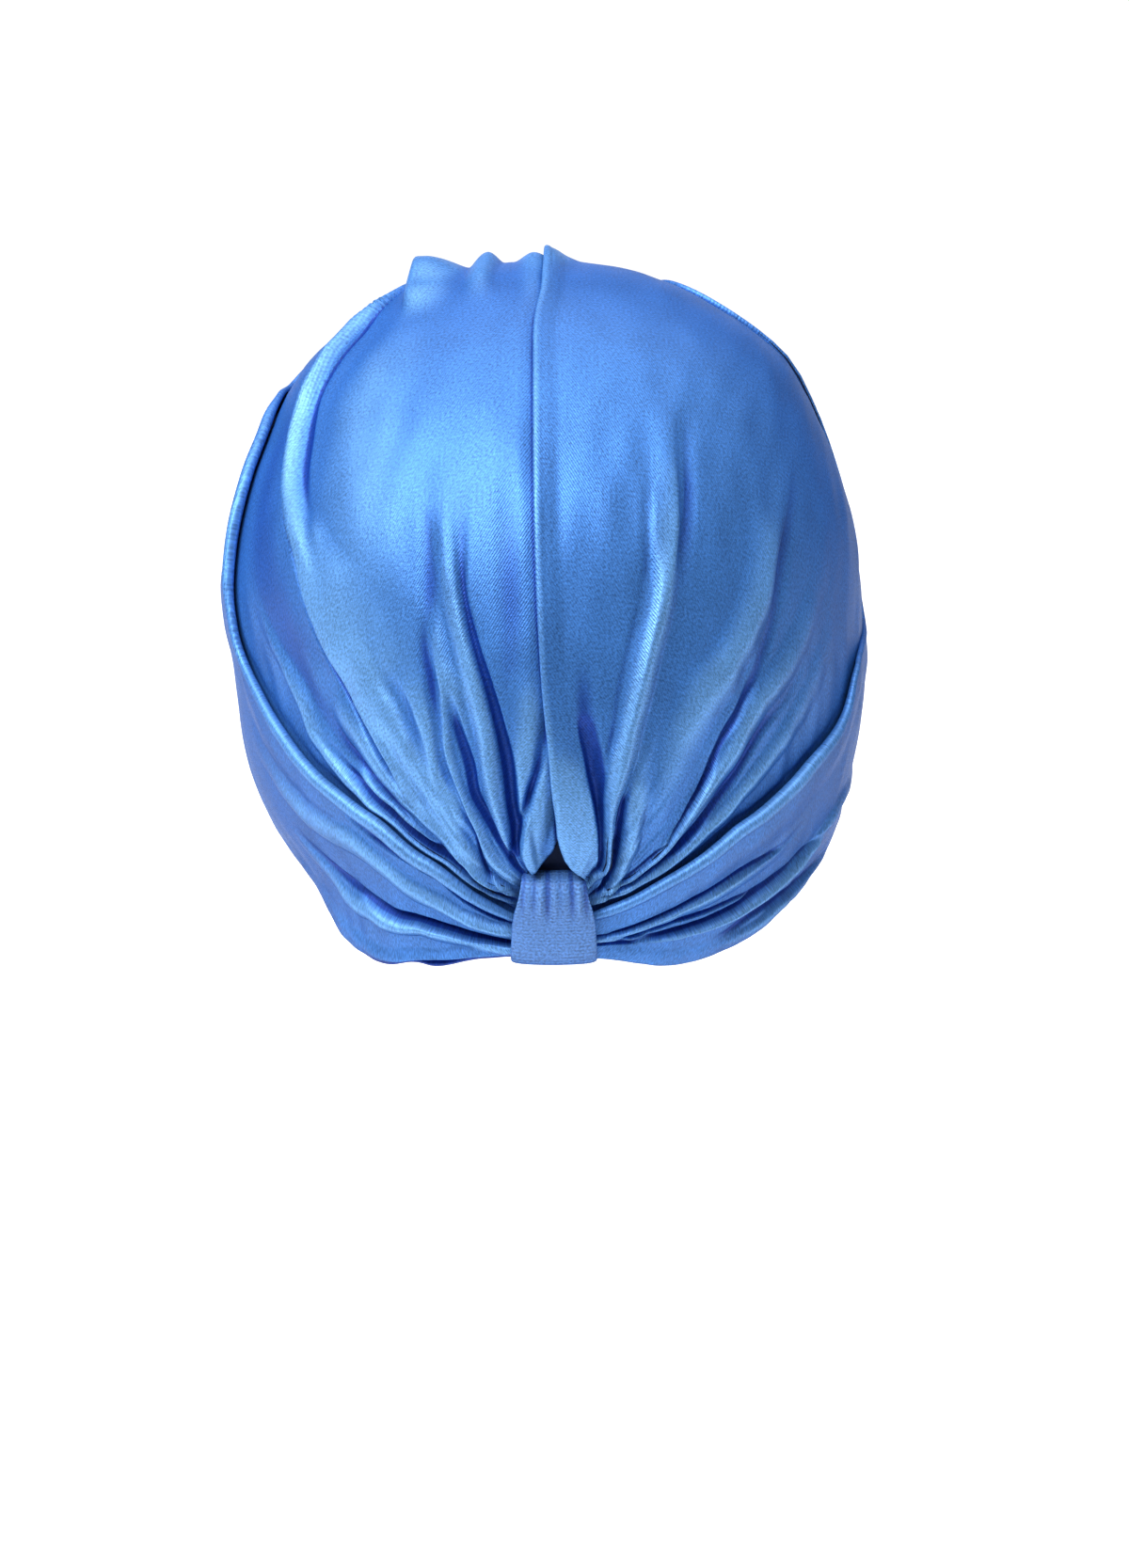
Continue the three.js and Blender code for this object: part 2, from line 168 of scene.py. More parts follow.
# %% [markdown]
# ## Folds
# A fold is a crest that runs along the cloth. Each row, in brackets, gives where it is (`along`
# and `across`, both in thousandths), how far it reaches towards the seam and towards the hem, and
# its height. A short reach on one side makes a steep flank, and a negative height makes a furrow.
# The rows were read off the photo, fold by fold.

# %% Folds of the crown panels
CROWN_LEFT = {
    "lobe by the seam": [
        (69, 132, 6, 3, 2.6), (99, 74, 6, 3, 3.2), (135, 26, 5.2, 2.7, 2.6),
        (175, -2, 3.8, 2.1, 1.2), (251, -17, 3.6, 2, 0),
    ],
    "furrow beside the lobe": [
        (83, 142, 1.2, 1.2, -2), (104, 98, 1.3, 1.3, -2), (135, 59, 1.4, 1.4, -1.7),
        (165, 30, 1.6, 1.6, -1), (189, 15, 1.6, 1.6, -0.4), (241, 5, 1.9, 1.9, 0),
    ],
    "inner crest": [
        (131, 90, 2.4, 2.2, 1.4), (176, 61, 3.6, 3.6, 1.6), (226, 35, 4.8, 4.8, 1.2),
        (265, 36, 6, 6, 0.3), (314, 37, 5.8, 5.8, 0),
    ],
    "inner streak": [
        (227, 70, 4.8, 4.8, 0), (270, 61, 4.8, 4.8, -0.5), (318, 59, 4.2, 4.2, -0.6),
        (422, 54, 3.6, 3.6, -0.3), (471, 53, 4.3, 4.3, 0),
    ],
    "deep furrow": [
        (61, 186, 1.7, 1.7, -3), (92, 132, 2.4, 1.7, -3.6), (125, 121, 2.3, 1.6, -3.8),
        (167, 107, 2.2, 1.6, -3.8), (218, 113, 1.8, 1.4, -3.2), (251, 123, 1.6, 1.3, -2.6),
        (284, 134, 1.3, 1.3, -2), (322, 141, 1.2, 1.2, -1.2), (360, 136, 2.2, 1.7, -0.6),
        (385, 131, 2.9, 2.4, -0.3), (434, 125, 3.5, 2.9, 0),
    ],
    "crest beside it": [
        (72, 200, 1.8, 2.1, 1.8), (99, 183, 2.2, 2.4, 2.3), (136, 170, 2.5, 3, 2.5),
        (204, 146, 2.5, 3.4, 2.4), (254, 150, 2.4, 3.9, 2), (287, 156, 2.4, 3.6, 1.6),
        (326, 163, 2.7, 3.6, 1.2), (361, 167, 3.6, 3.9, 0.7), (422, 169, 3.5, 3.7, 0),
    ],
    "short crest": [
        (194, 195, 1.9, 1.9, 0), (229, 202, 3, 3, 0.8), (255, 208, 3.9, 3.3, 1.4),
        (283, 218, 4.5, 3.6, 0.6), (341, 228, 4.3, 3.5, 0),
    ],
    "split furrow": [
        (45, 222, 1.2, 1.2, -2), (75, 211, 1.3, 1.3, -2.4), (99, 222, 1.4, 1.4, -2.6),
        (121, 234, 1.6, 1.4, -2.6), (146, 240, 1.7, 1.4, -2.4), (178, 220, 1.8, 1.6, -2),
        (214, 222, 1.8, 1.4, -1.4), (242, 218, 1.7, 1.4, -0.4), (294, 214, 2, 1.7, 0),
    ],
    "thin crest": [
        (45, 351, 3.3, 1.8, 1.8), (71, 332, 3, 1.8, 2), (98, 307, 2.4, 1.8, 2.2),
        (124, 290, 2, 2, 2.3), (145, 292, 2, 2, 2.3), (176, 279, 2, 2.1, 2.2),
        (196, 273, 2.1, 2.4, 1.8), (236, 248, 2.7, 2.7, 1.2), (278, 222, 3.6, 3, 0.5),
        (333, 211, 3.5, 2.9, 0),
    ],
    "crease": [
        (20, 469, 0.8, 0.8, -1.8), (37, 514, 0.8, 0.8, -1.9), (55, 466, 0.8, 0.8, -2),
        (78, 376, 0.9, 0.9, -2), (100, 326, 0.9, 0.9, -1.9), (126, 311, 0.9, 0.9, -1.7),
        (152, 300, 1.3, 1.3, -1.5), (190, 296, 1.7, 1.7, -1.5), (227, 272, 2.4, 1.9, -1.5),
        (259, 258, 2.9, 2.2, -1.3), (286, 246, 3.4, 2.4, -1.1), (321, 214, 3.6, 2.9, -1),
        (366, 194, 4.2, 3.1, -0.8), (405, 186, 4.8, 3.6, -0.3), (454, 182, 5.8, 4.3, 0),
    ],
    "second crest": [
        (105, 370, 2.2, 1.6, 0), (140, 356, 3.3, 2.4, 1.6), (168, 344, 3.9, 3, 1.8),
        (193, 328, 4.5, 3.3, 1.8), (217, 316, 5.4, 3.9, 1.7), (236, 312, 6, 4.5, 1.5),
        (251, 314, 6.6, 5.4, 1.2), (279, 316, 9, 6, 0.6), (337, 319, 7.2, 5.8, 0),
    ],
    "soft valley": [
        (151, 365, 1.2, 1.2, 0), (186, 357, 1.6, 1.6, -0.4), (209, 352, 1.9, 1.9, -0.7),
        (230, 353, 2.4, 2.4, -1), (251, 356, 2.9, 2.9, -1), (266, 366, 3.1, 3.1, -0.8),
        (286, 374, 3.6, 3.6, -0.4), (338, 385, 4.3, 4.3, 0),
    ],
    "third crest": [
        (59, 508, 2.4, 2.1, 1.6), (88, 445, 3, 2.4, 1.9), (125, 426, 3.6, 2.7, 2),
        (159, 402, 3.9, 3.3, 2), (191, 390, 4.5, 3.9, 1.8), (227, 396, 5.4, 4.5, 1.6),
        (261, 410, 6.6, 6, 1.3), (296, 421, 9, 7.5, 0.8), (332, 447, 7, 7.5, 0.3),
        (381, 457, 8.4, 7.2, 0),
    ],
    "pleat edge": [
        (88, 500, 1.8, 0.7, 0.62), (115, 477, 2.1, 0.7, 1), (140, 469, 2.7, 0.8, 1.38),
        (163, 471, 3.6, 0.8, 1.62), (194, 476, 6, 0.8, 1.88), (229, 476, 10, 0.8, 2),
        (263, 485, 15, 0.8, 2), (298, 491, 20, 0.8, 2), (325, 498, 22, 0.8, 2.1),
        (357, 502, 20, 0.8, 2.2), (412, 488, 12, 0.8, 2.3), (448, 492, 7, 0.8, 2.6),
        (480, 489, 5.5, 0.9, 3), (512, 474, 5, 1.1, 3.4), (540, 449, 4.6, 1.6, 3.7),
        (566, 413, 4.5, 3.3, 4), (594, 364, 3.2, 2.6, 4), (627, 321, 3.6, 3.2, 3.75),
        (690, 222, 4, 4, 1.5), (766, 206, 4.8, 4.8, 0),
    ],
    "shade under the pleat edge": [
        (160, 481, 0.8, 1.2, 0), (229, 486, 1, 1.6, -2), (325, 508, 1, 1.8, -2.8),
        (412, 498, 1, 1.8, -2.8), (480, 499, 0.9, 1.6, -2.2), (540, 461, 1, 1.6, -2.4),
        (594, 382, 1.2, 1.6, -2.4), (660, 290, 1.2, 1.6, 0),
    ],
    "crease inside the pleat": [
        (380, 450, 3, 2.4, 0), (440, 452, 2.6, 2, -0.8), (500, 438, 2.2, 1.8, -2),
        (538, 413, 1.9, 1.7, -2.86), (557, 390, 1.6, 1.4, -3.9), (576, 352, 1.2, 1.2, -4.42),
        (601, 310, 1.2, 1.2, -4.16), (649, 270, 1.2, 1.2, -3.38), (680, 221, 1.2, 1.2, -2.08),
        (768, 204, 1.4, 1.4, 0),
    ],
    "outer crest": [
        (95, 504, 1.8, 1.7, 1.6), (129, 486, 2.4, 2, 1.8), (158, 492, 3, 2.1, 1.9),
        (186, 502, 3.9, 2.7, 2), (215, 516, 4.5, 3.3, 2), (245, 530, 4.8, 3.9, 1.8),
        (273, 550, 4.8, 4.5, 1.3), (304, 567, 4.5, 4.5, 0.6), (362, 579, 4.3, 4.3, 0),
    ],
    "thin furrow": [
        (114, 525, 0.7, 0.6, 0), (149, 532, 0.9, 0.8, -1.1), (177, 539, 1.2, 0.9, -1.3),
        (204, 553, 1.3, 1.2, -1.2), (234, 564, 1.4, 1.3, -0.9), (254, 581, 1.7, 1.4, -0.4),
        (306, 591, 2, 1.7, 0),
    ],
    "thin line": [
        (102, 541, 0.8, 1.2, 0), (137, 542, 1.5, 1.8, 1.4), (162, 542, 1.5, 2, 1.8),
        (186, 564, 1.7, 2, 1.9), (214, 577, 1.8, 2, 1.8), (239, 603, 2, 2, 1.5),
        (267, 624, 2.1, 2.1, 1), (290, 634, 2.4, 2.1, 0.5), (345, 645, 2.3, 2, 0),
    ],
    "blue furrow": [
        (55, 588, 1.2, 0.9, -2), (76, 545, 1.7, 1.2, -2.4), (104, 547, 2.2, 1.4, -2.8),
        (129, 567, 2.6, 1.7, -3), (155, 580, 2.9, 1.9, -3), (182, 587, 3, 2.2, -2.8),
        (208, 605, 2.9, 2.2, -2.4), (230, 608, 2.6, 2.2, -1.8), (259, 624, 2.4, 2.2, -1),
        (287, 647, 1.9, 1.9, -0.4), (339, 658, 2.3, 2.3, 0),
    ],
    "bright crest": [
        (49, 626, 0.9, 0.9, 1.3), (87, 582, 1.5, 1.5, 1.6), (127, 589, 1.7, 1.7, 1.7),
        (165, 601, 2, 1.8, 1.9), (204, 624, 2.2, 2.1, 2), (243, 641, 2.7, 2.7, 2.1),
        (275, 657, 3.3, 3, 2.1), (298, 664, 4.2, 3.3, 2.1), (325, 656, 4.8, 3.3, 2),
        (352, 654, 4.5, 3, 1.8), (378, 650, 3.6, 2.7, 1.2), (403, 646, 3, 2.4, 0.5),
        (458, 642, 2.9, 2.3, 0),
    ],
    "inner top ridge": [
        (580, 90, 4, 5, 0), (660, 85, 3.7, 5, 2.6), (720, 85, 3.7, 5, 4.2),
        (800, 110, 4, 5, 3.2), (920, 160, 5, 5, 2), (1000, 200, 4, 4, 1),
    ],
    "broad swell": [
        (250, 300, 14, 14, 0), (400, 340, 22, 14, 1.2), (520, 300, 22, 14, 1.4),
        (600, 200, 18, 10, 0.6), (680, 170, 16, 9, 0),
    ],
    "outer top ridge": [
        (590, 200, 10, 6, 0), (640, 185, 11, 5, 3), (690, 180, 11.5, 4.5, 6.6),
        (740, 200, 11.5, 4.5, 6.6), (800, 230, 11, 6, 4.5), (900, 280, 8, 6, 3),
        (1000, 300, 5, 5, 1),
    ],
    "crest along the seam": [
        (560, 15, 7.2, 6.6, 0), (640, 15, 6, 5.5, 1.5), (700, 15, 6, 5.5, 3.6),
        (800, 15, 6, 6, 3.2), (900, 20, 6, 6, 2), (1000, 30, 5, 5, 1),
    ],
    "band under the pleat": [
        (200, 550, 6, 6, 0), (270, 590, 8, 9, -0.4), (360, 600, 15, 14, -0.7),
        (460, 590, 14, 12, -0.7), (540, 530, 9, 9, -0.6), (620, 440, 7, 7, 0),
    ],
}
CROWN_RIGHT = {
    "seam lobe": [
        (65, 190, 7, 5.5, 1.6), (97, 125, 8, 8, 1.9), (131, 83, 8, 8, 1.8),
        (165, 48, 7, 7, 1.2), (200, 20, 4.5, 5.1, 0.3), (249, 10, 4.3, 4.9, 0),
    ],
    "deep furrow": [
        (55, 345, 1.2, 1.2, -3), (82, 268, 1.4, 1.4, -3.6), (109, 212, 1.6, 1.9, -3.8),
        (136, 162, 1.6, 2.6, -3.8), (162, 125, 1.6, 3.6, -3.2), (188, 100, 1.7, 3.8, -2.4),
        (204, 86, 1.9, 3.8, -1.8), (227, 75, 2.4, 3.6, -0.6), (285, 63, 2.9, 4.3, 0),
    ],
    "long crest": [
        (57, 370, 1.7, 1.8, 2.6), (89, 270, 1.8, 2.4, 3.1), (116, 228, 2.1, 2.7, 3.3),
        (138, 208, 2.5, 3, 3.3), (161, 202, 3, 3.3, 3.2), (206, 192, 3.6, 3.9, 2.9),
        (254, 191, 4.5, 4.5, 2.7), (296, 202, 5.1, 4.5, 2.5), (338, 213, 6, 3.9, 2.3),
        (374, 214, 9, 1.8, 1.8), (409, 206, 7, 1.7, 1.2), (443, 195, 7, 1.8, 0.5),
        (498, 186, 8.4, 1.7, 0),
    ],
    "step beside it": [
        (319, 233, 2.4, 4.8, 0), (350, 231, 1.9, 4.8, -0.5), (382, 233, 1.2, 3.6, -0.8),
        (412, 228, 0.9, 3.6, -0.9), (443, 219, 0.9, 3, -0.5), (498, 210, 1.3, 3.6, 0),
    ],
    "flank towards the seam": [
        (175, 164, 1.9, 1.2, 0), (210, 169, 2.4, 1.4, -1), (253, 175, 3.6, 1.7, -1.3),
        (291, 184, 4.1, 1.7, -1.2), (331, 189, 3.6, 1.4, -1), (358, 171, 2.4, 1.2, -0.8),
        (422, 158, 2.9, 1.4, 0),
    ],
    "furrow beside the long crest": [
        (37, 566, 0.9, 0.9, -2.4), (55, 453, 1.2, 1.2, -2.6), (83, 349, 1.3, 1.3, -2.6),
        (109, 296, 1.3, 1.3, -2.2), (136, 260, 1.3, 1.3, -1.4), (153, 249, 1.2, 1.2, -0.4),
        (205, 238, 1.4, 1.4, 0),
    ],
    "small crest": [
        (45, 603, 1.7, 2.1, 1.8), (60, 521, 2, 2.7, 2), (81, 434, 2.2, 3, 2.1),
        (106, 380, 2.7, 3.3, 2), (131, 328, 3.3, 3.6, 1.7), (156, 288, 3.9, 4.2, 1.2),
        (176, 262, 4.5, 4.5, 0.6), (234, 251, 4.3, 4.3, 0),
    ],
    "second crest": [
        (118, 419, 2.9, 2.9, 0), (153, 398, 4.5, 4.5, 0.4), (201, 360, 6, 6, 0.8),
        (239, 366, 7.5, 6, 1.3), (271, 392, 9, 6, 1.7), (310, 430, 7, 5.1, 1.9),
        (349, 450, 8, 4.5, 1.9), (404, 444, 9, 3, 1.5), (448, 433, 9, 3.6, 0.4),
        (500, 426, 10.8, 3.5, 0),
    ],
    "second furrow": [
        (129, 552, 0.9, 0.9, -1.6), (149, 530, 0.9, 0.9, -2.4), (178, 511, 1.2, 1.2, -2.6),
        (206, 498, 1.3, 1.2, -2.5), (228, 485, 1.4, 1.3, -2), (271, 495, 1.9, 1.7, -1.1),
        (317, 506, 2.4, 2.4, -0.7), (372, 490, 1.9, 3.6, -0.7), (419, 468, 1.4, 4.8, -0.8),
        (460, 467, 1.2, 4.8, -0.5), (515, 467, 1.4, 5.8, 0),
    ],
    "third crest": [
        (113, 567, 1.5, 1.7, 1.4), (134, 551, 1.8, 2, 1.8), (166, 528, 2, 2.4, 2),
        (197, 525, 2.2, 2.8, 2), (229, 532, 3, 3.6, 1.9), (281, 540, 4.2, 4.2, 1.7),
        (329, 580, 5.4, 4.5, 1.4), (376, 600, 6, 4.2, 1), (420, 604, 6, 3.6, 0.4),
        (472, 606, 5.8, 3.5, 0),
    ],
    "third furrow": [
        (100, 603, 0.9, 0.9, -2), (117, 594, 1.2, 1.2, -2.5), (141, 595, 1.4, 1.4, -2.7),
        (169, 588, 1.7, 1.6, -2.3), (199, 584, 1.8, 1.7, -1.6), (230, 584, 1.9, 1.8, -1.1),
        (274, 589, 2.2, 1.9, -0.8), (319, 616, 2.4, 2.4, -0.4), (371, 626, 2.9, 2.9, 0),
    ],
    "fourth crest": [
        (117, 637, 1.5, 1.5, 1.4), (143, 630, 1.8, 1.8, 1.6), (169, 627, 2.1, 2.2, 1.7),
        (196, 636, 2.5, 2.5, 1.7), (225, 640, 3, 3, 1.6), (253, 652, 3.6, 3.3, 1.4),
        (333, 677, 4.5, 4.5, 1), (379, 676, 4.5, 4.5, 0.6), (437, 676, 4.3, 4.3, 0),
    ],
    "crest along the seam": [
        (550, -15, 7.2, 7, 0), (640, -15, 5, 9, 1.5), (700, -10, 5, 11, 3.6),
        (780, -10, 5, 11, 3.4), (900, 10, 5, 9, 2), (1000, 30, 4, 6, 1),
    ],
}

# %% Folds of the side wraps
WRAP_LEFT = {
    "thin furrow": [
        (41, 778, 0.8, 0.8, -1.4), (60, 746, 0.9, 0.9, -1.5), (82, 706, 0.9, 0.9, -1.6),
        (108, 665, 0.9, 0.9, -1.6), (133, 665, 1.2, 1.2, -1.5), (156, 672, 1.2, 1.2, -1.3),
        (181, 685, 1.3, 1.3, -0.9), (199, 693, 1.4, 1.4, -0.4), (251, 703, 1.7, 1.7, 0),
    ],
    "broad crest": [
        (45, 850, 2.7, 2.7, 1.8), (73, 821, 3.3, 3.3, 2.1), (105, 788, 3.9, 3.9, 2.2),
        (139, 784, 4.5, 4.5, 2.2), (174, 768, 4.8, 4.8, 2.1), (212, 768, 5.4, 5.1, 2),
        (251, 802, 5.4, 5.1, 1.8), (280, 823, 5.4, 5.1, 1.5), (312, 835, 5.1, 4.8, 1.2),
        (350, 835, 4.5, 4.5, 0.6), (408, 836, 4.3, 4.3, 0),
    ],
    "deep furrow": [
        (41, 925, 1.2, 1.2, -2.4), (68, 918, 1.4, 1.3, -2.8), (96, 894, 1.7, 1.4, -3),
        (128, 885, 1.8, 1.6, -3), (161, 892, 1.9, 1.7, -2.6), (197, 895, 2.2, 1.9, -1.9),
        (227, 895, 2.4, 2.2, -1.2), (276, 896, 2.4, 2.4, -0.4), (328, 896, 2.9, 2.9, 0),
    ],
    "lower crest": [
        (47, 952, 1.8, 2.4, 1.2), (78, 928, 2.1, 2.7, 1.5), (118, 907, 2.4, 3, 1.7),
        (162, 913, 2.5, 3.2, 1.8), (197, 919, 2.7, 3.3, 1.8), (229, 929, 3, 3.6, 1.5),
        (269, 920, 3, 3.6, 0.8), (333, 913, 2.9, 3.5, 0),
    ],
    "hem furrow": [
        (58, 997, 0.9, 0.9, -1.6), (82, 997, 1.2, 1.2, -1.8), (112, 993, 1.2, 1.2, -2),
        (142, 998, 1.2, 1.2, -1.6), (168, 999, 1.2, 1.2, -0.6), (226, 1000, 1.4, 1.4, 0),
    ],
}
WRAP_RIGHT = {
    "thin furrow": [
        (53, 892, 0.8, 0.8, -1.5), (71, 868, 0.9, 0.9, -1.7), (101, 838, 0.9, 0.9, -1.8),
        (134, 823, 1.2, 0.9, -1.8), (168, 822, 1.2, 0.9, -1.7), (204, 828, 1.3, 1.2, -1.4),
        (230, 842, 1.4, 1.2, -1), (258, 858, 1.4, 1.2, -0.4), (310, 869, 1.7, 1.4, 0),
    ],
    "thin crest": [
        (67, 892, 0.9, 1.8, 1), (91, 866, 1.5, 2.4, 1.1), (123, 844, 1.5, 3, 1.2),
        (156, 841, 1.5, 3.3, 1.2), (191, 845, 1.5, 3.6, 1), (230, 856, 1.5, 3, 0.5),
        (285, 864, 1.4, 2.9, 0),
    ],
    "second thin furrow": [
        (56, 935, 0.8, 0.8, -1.2), (83, 903, 0.8, 0.8, -1.4), (113, 879, 0.9, 0.9, -1.5),
        (146, 882, 0.9, 0.9, -1.4), (180, 891, 0.9, 0.9, -1.1), (217, 903, 0.9, 0.9, -0.6),
        (275, 912, 1.3, 1.3, 0),
    ],
    "deep furrow": [
        (75, 935, 1.2, 1.2, -1.44), (114, 912, 1.3, 1.3, -1.68), (157, 911, 1.4, 1.4, -1.8),
        (192, 915, 1.4, 1.6, -1.8), (231, 914, 1.6, 1.7, -1.62), (260, 919, 1.6, 1.7, -1.38),
        (291, 920, 1.4, 1.6, -0.96), (319, 929, 1.2, 1.4, -0.48), (383, 941, 1.4, 1.7, 0),
    ],
    "bright crest": [
        (104, 926, 1.5, 1.5, 1.2), (136, 923, 1.7, 1.7, 1.44), (169, 928, 2, 1.8, 1.6),
        (205, 931, 2.1, 2, 1.76), (246, 934, 2.2, 2.1, 1.76), (277, 940, 2.4, 2.2, 1.76),
        (309, 936, 2.7, 2.4, 1.6), (346, 930, 3, 2.7, 1.28), (383, 931, 3.3, 3, 0.96),
        (424, 949, 3.6, 3, 0.64), (488, 962, 3.5, 2.9, 0),
    ],
    "low furrow": [
        (159, 968, 1.2, 1.3, 0), (194, 964, 1.6, 1.7, -0.7), (220, 961, 1.6, 1.7, -1),
        (249, 969, 1.6, 1.7, -1.15), (283, 978, 1.6, 1.7, -1), (311, 986, 1.4, 1.6, -0.7),
        (393, 998, 1.7, 1.9, 0),
    ],
    "low crest": [
        (160, 989, 1.3, 2.2, 0), (195, 987, 2.1, 3.3, 0.6), (229, 986, 2.1, 3.3, 0.9),
        (259, 984, 2, 3.3, 1.02), (295, 995, 2, 3, 0.9), (330, 998, 1.8, 3, 0.6),
        (400, 1000, 1.7, 2.9, 0),
    ],
}
CROWN_FOLDS = {LEFT: CROWN_LEFT, RIGHT: CROWN_RIGHT}
WRAP_FOLDS = {LEFT: WRAP_LEFT, RIGHT: WRAP_RIGHT}
print("folds:", sum(len(t) for t in (*CROWN_FOLDS.values(), *WRAP_FOLDS.values())))

# %% [markdown]
# ## Where the panels end
# The side wraps lie over the crown panels' outer edges by `LAP`. `WRAP_EDGE` says where a wrap's
# upper edge runs and how high its roll stands. `SEAM` says where the crown panels meet: in the
# middle, but above the loop they part and leave a small dark hole. `LOFT` lifts the cloth off the
# head where it is bundled, near the loop and at the forehead.

# %% Where the panels end
WRAP_EDGE = {
    LEFT: [  # along, across, roll
        (0, 0.75, 1.6), (0.03, 0.72, 1.8), (0.06, 0.669, 2.2), (0.084, 0.635, 2.6),
        (0.111, 0.618, 2.9), (0.14, 0.628, 3.1), (0.187, 0.637, 3.1), (0.212, 0.66, 3),
        (0.238, 0.681, 2.9), (0.264, 0.704, 2.8), (0.293, 0.723, 2.6), (0.33, 0.737, 2.3),
        (0.38, 0.744, 1.9), (0.424, 0.74, 1.7), (0.455, 0.708, 1.6), (0.489, 0.665, 2.2),
        (0.519, 0.622, 2.3), (0.56, 0.584, 2.3), (0.602, 0.556, 2), (0.65, 0.535, 1.3),
        (0.69, 0.54, 0.9), (0.74, 0.5, 1), (0.8, 0.45, 1.6), (0.9, 0.41, 2), (1, 0.45, 2.4),
    ],
    RIGHT: [
        (0, 0.78, 1.4), (0.03, 0.74, 1.6), (0.055, 0.715, 2), (0.078, 0.696, 1.9),
        (0.102, 0.683, 2.1), (0.14, 0.683, 2.3), (0.175, 0.688, 2.5), (0.2, 0.696, 2.6),
        (0.226, 0.716, 2.7), (0.253, 0.734, 2.8), (0.282, 0.752, 2.9), (0.314, 0.766, 2.6),
        (0.34, 0.778, 2.2), (0.38, 0.785, 1.6), (0.427, 0.772, 1.2), (0.455, 0.78, 0.8),
        (0.48, 0.792, 0.5), (0.505, 0.806, 0.3), (0.53, 0.815, 0.15), (0.57, 0.81, 0.1),
        (0.61, 0.77, 0.1), (0.635, 0.69, 0.2), (0.655, 0.57, 0.4), (0.67, 0.45, 0.6),
        (0.7, 0.31, 0.8), (0.8, 0.24, 0.8), (0.9, 0.3, 2), (1, 0.42, 2.4),
    ],
}
SEAM = [  # along, left panel's edge, right panel's edge, both in mm towards the right
    (0, -5, 11), (0.028, -4.6, 10.6), (0.042, -2.2, 7.2),
    (0.058, 0.3, 4.9), (0.074, 1.9, 3.7), (0.09, 2.7, 2.9),
    (0.11, 2.5, 2.5), (0.143, 1.6, 1.6), (0.187, 0.8, 0.8),
    (0.25, -0.8, -0.8), (0.31, -1.9, -1.9), (0.37, -2.6, -2.6),
    (0.5, -2.9, -2.9), (0.56, -2.6, -2.6), (0.6, -1, -1),
    (0.64, -0.6, -0.6), (0.8, 0, 0), (1, 0, 0),
]
LOFT = [  # along, height
    (0, 0.8), (0.03, 2), (0.08, 3),
    (0.15, 3), (0.22, 2.2), (0.33, 1.2),
    (0.5, 0.4), (0.62, 0), (0.8, 0),
    (1, 0.8),
]
LAP = 7.0
print("the hole above the loop, mm:", SEAM[0][2] - SEAM[0][1], "wide at its base")

# %% [markdown]
# ## Lengths on the arches
# Reaches are in millimetres, so each arch is measured once: `arc` gives the length from the
# middle to a place on the arch, and `across_at` turns a length back into a place. `relief` adds
# up the folds' heights there.

# %% Lengths on the arches
TICKS = np.linspace(-0.45, 1.05, 601)


class Arches:
    def __init__(self, side, along):
        self.along = along
        across, rows = np.meshgrid(TICKS, along)
        points = head_point(lay(side, across, rows))
        steps = np.linalg.norm(np.diff(points, axis=1), axis=2)
        self.lengths = np.concatenate([np.zeros((len(along), 1)), np.cumsum(steps, 1)], 1)
        zero = int(np.argmin(np.abs(TICKS)))
        self.lengths -= self.lengths[:, zero : zero + 1]

    def arc(self, across):
        rows = [np.interp(a, TICKS, l) for a, l in zip(across, self.lengths)]
        return np.array(rows)

    def across_at(self, length):
        rows = [np.interp(s, l, TICKS) for s, l in zip(length, self.lengths)]
        return np.array(rows)


CREST_SHARPNESS = 1.35
ROW_UNITS = [1000, 1000, 1, 1, 1]


def relief(folds, arches, arc):
    along = arches.along
    total = np.zeros_like(arc)
    for table in folds.values():
        rows = np.array(table) / ROW_UNITS
        at = arches.arc(smooth(rows, 1, along)[:, None])
        inner, outer, height = (eased(rows, k, along)[:, None] for k in (2, 3, 4))
        offset = arc - at
        share = np.clip(np.abs(offset) / np.where(offset < 0, inner, outer), 0, 1)
        total += height * np.cos(0.5 * np.pi * share) ** CREST_SHARPNESS
    return total


to_the_hem = Arches(RIGHT, np.array([0.35])).arc(np.array([[1.0]]))[0, 0]
print("from the middle to the hem at along 0.35, mm:", round(to_the_hem, 1))


# %% [markdown]
# ## Small wrinkles
# Close to the loop the gather breaks into fine pleats that fade within a few centimetres, and
# everywhere the cloth is a little uneven. Both are sums of a few waves, so that they come out
# the same each time.

# %% Small wrinkles
UNEVENNESS, FINE_PLEAT, FRONT_PLEAT = 0.06, 0.12, 3
rng = np.random.default_rng(7)
WAVES = [
    (rng.uniform(9, 26), rng.uniform(25, 80), rng.uniform(0, TURN), rng.uniform(0, TURN))
    for _ in range(14)
]
FINE_WAVES = [  # weight, count across, sway, how often it sways, start, start by side
    (1, 17, 0.5, 9, 0, 1.7),
    (0.6, 29, 0.4, 7, 0.4, 0),
]


def unevenness(arc, length):
    total = np.zeros_like(arc)
    for across_pitch, along_pitch, shift, turn in WAVES:
        wave = np.sin(TURN * arc / across_pitch + shift)
        total += wave * np.sin(TURN * length / along_pitch + turn)
    return UNEVENNESS * total


def fine_pleats(across, along, side):
    total = np.zeros_like(across)
    for weight, count, sway, often, start, by_side in FINE_WAVES:
        swaying = count * across + sway * np.sin(often * across)
        total += weight * np.sin(TURN * swaying + start + by_side * side)
    return FINE_PLEAT * total * (1 - ramp(along, 0.05, 0.32))[:, None]


def front_pleats(share, along, count):
    wave = 0.5 - 0.5 * np.cos(TURN * count * share)
    return FRONT_PLEAT * wave * ramp(along, 0.68, 1)[:, None] ** 1.4


print("waves of unevenness:", len(WAVES), "and of fine pleats:", len(FINE_WAVES))
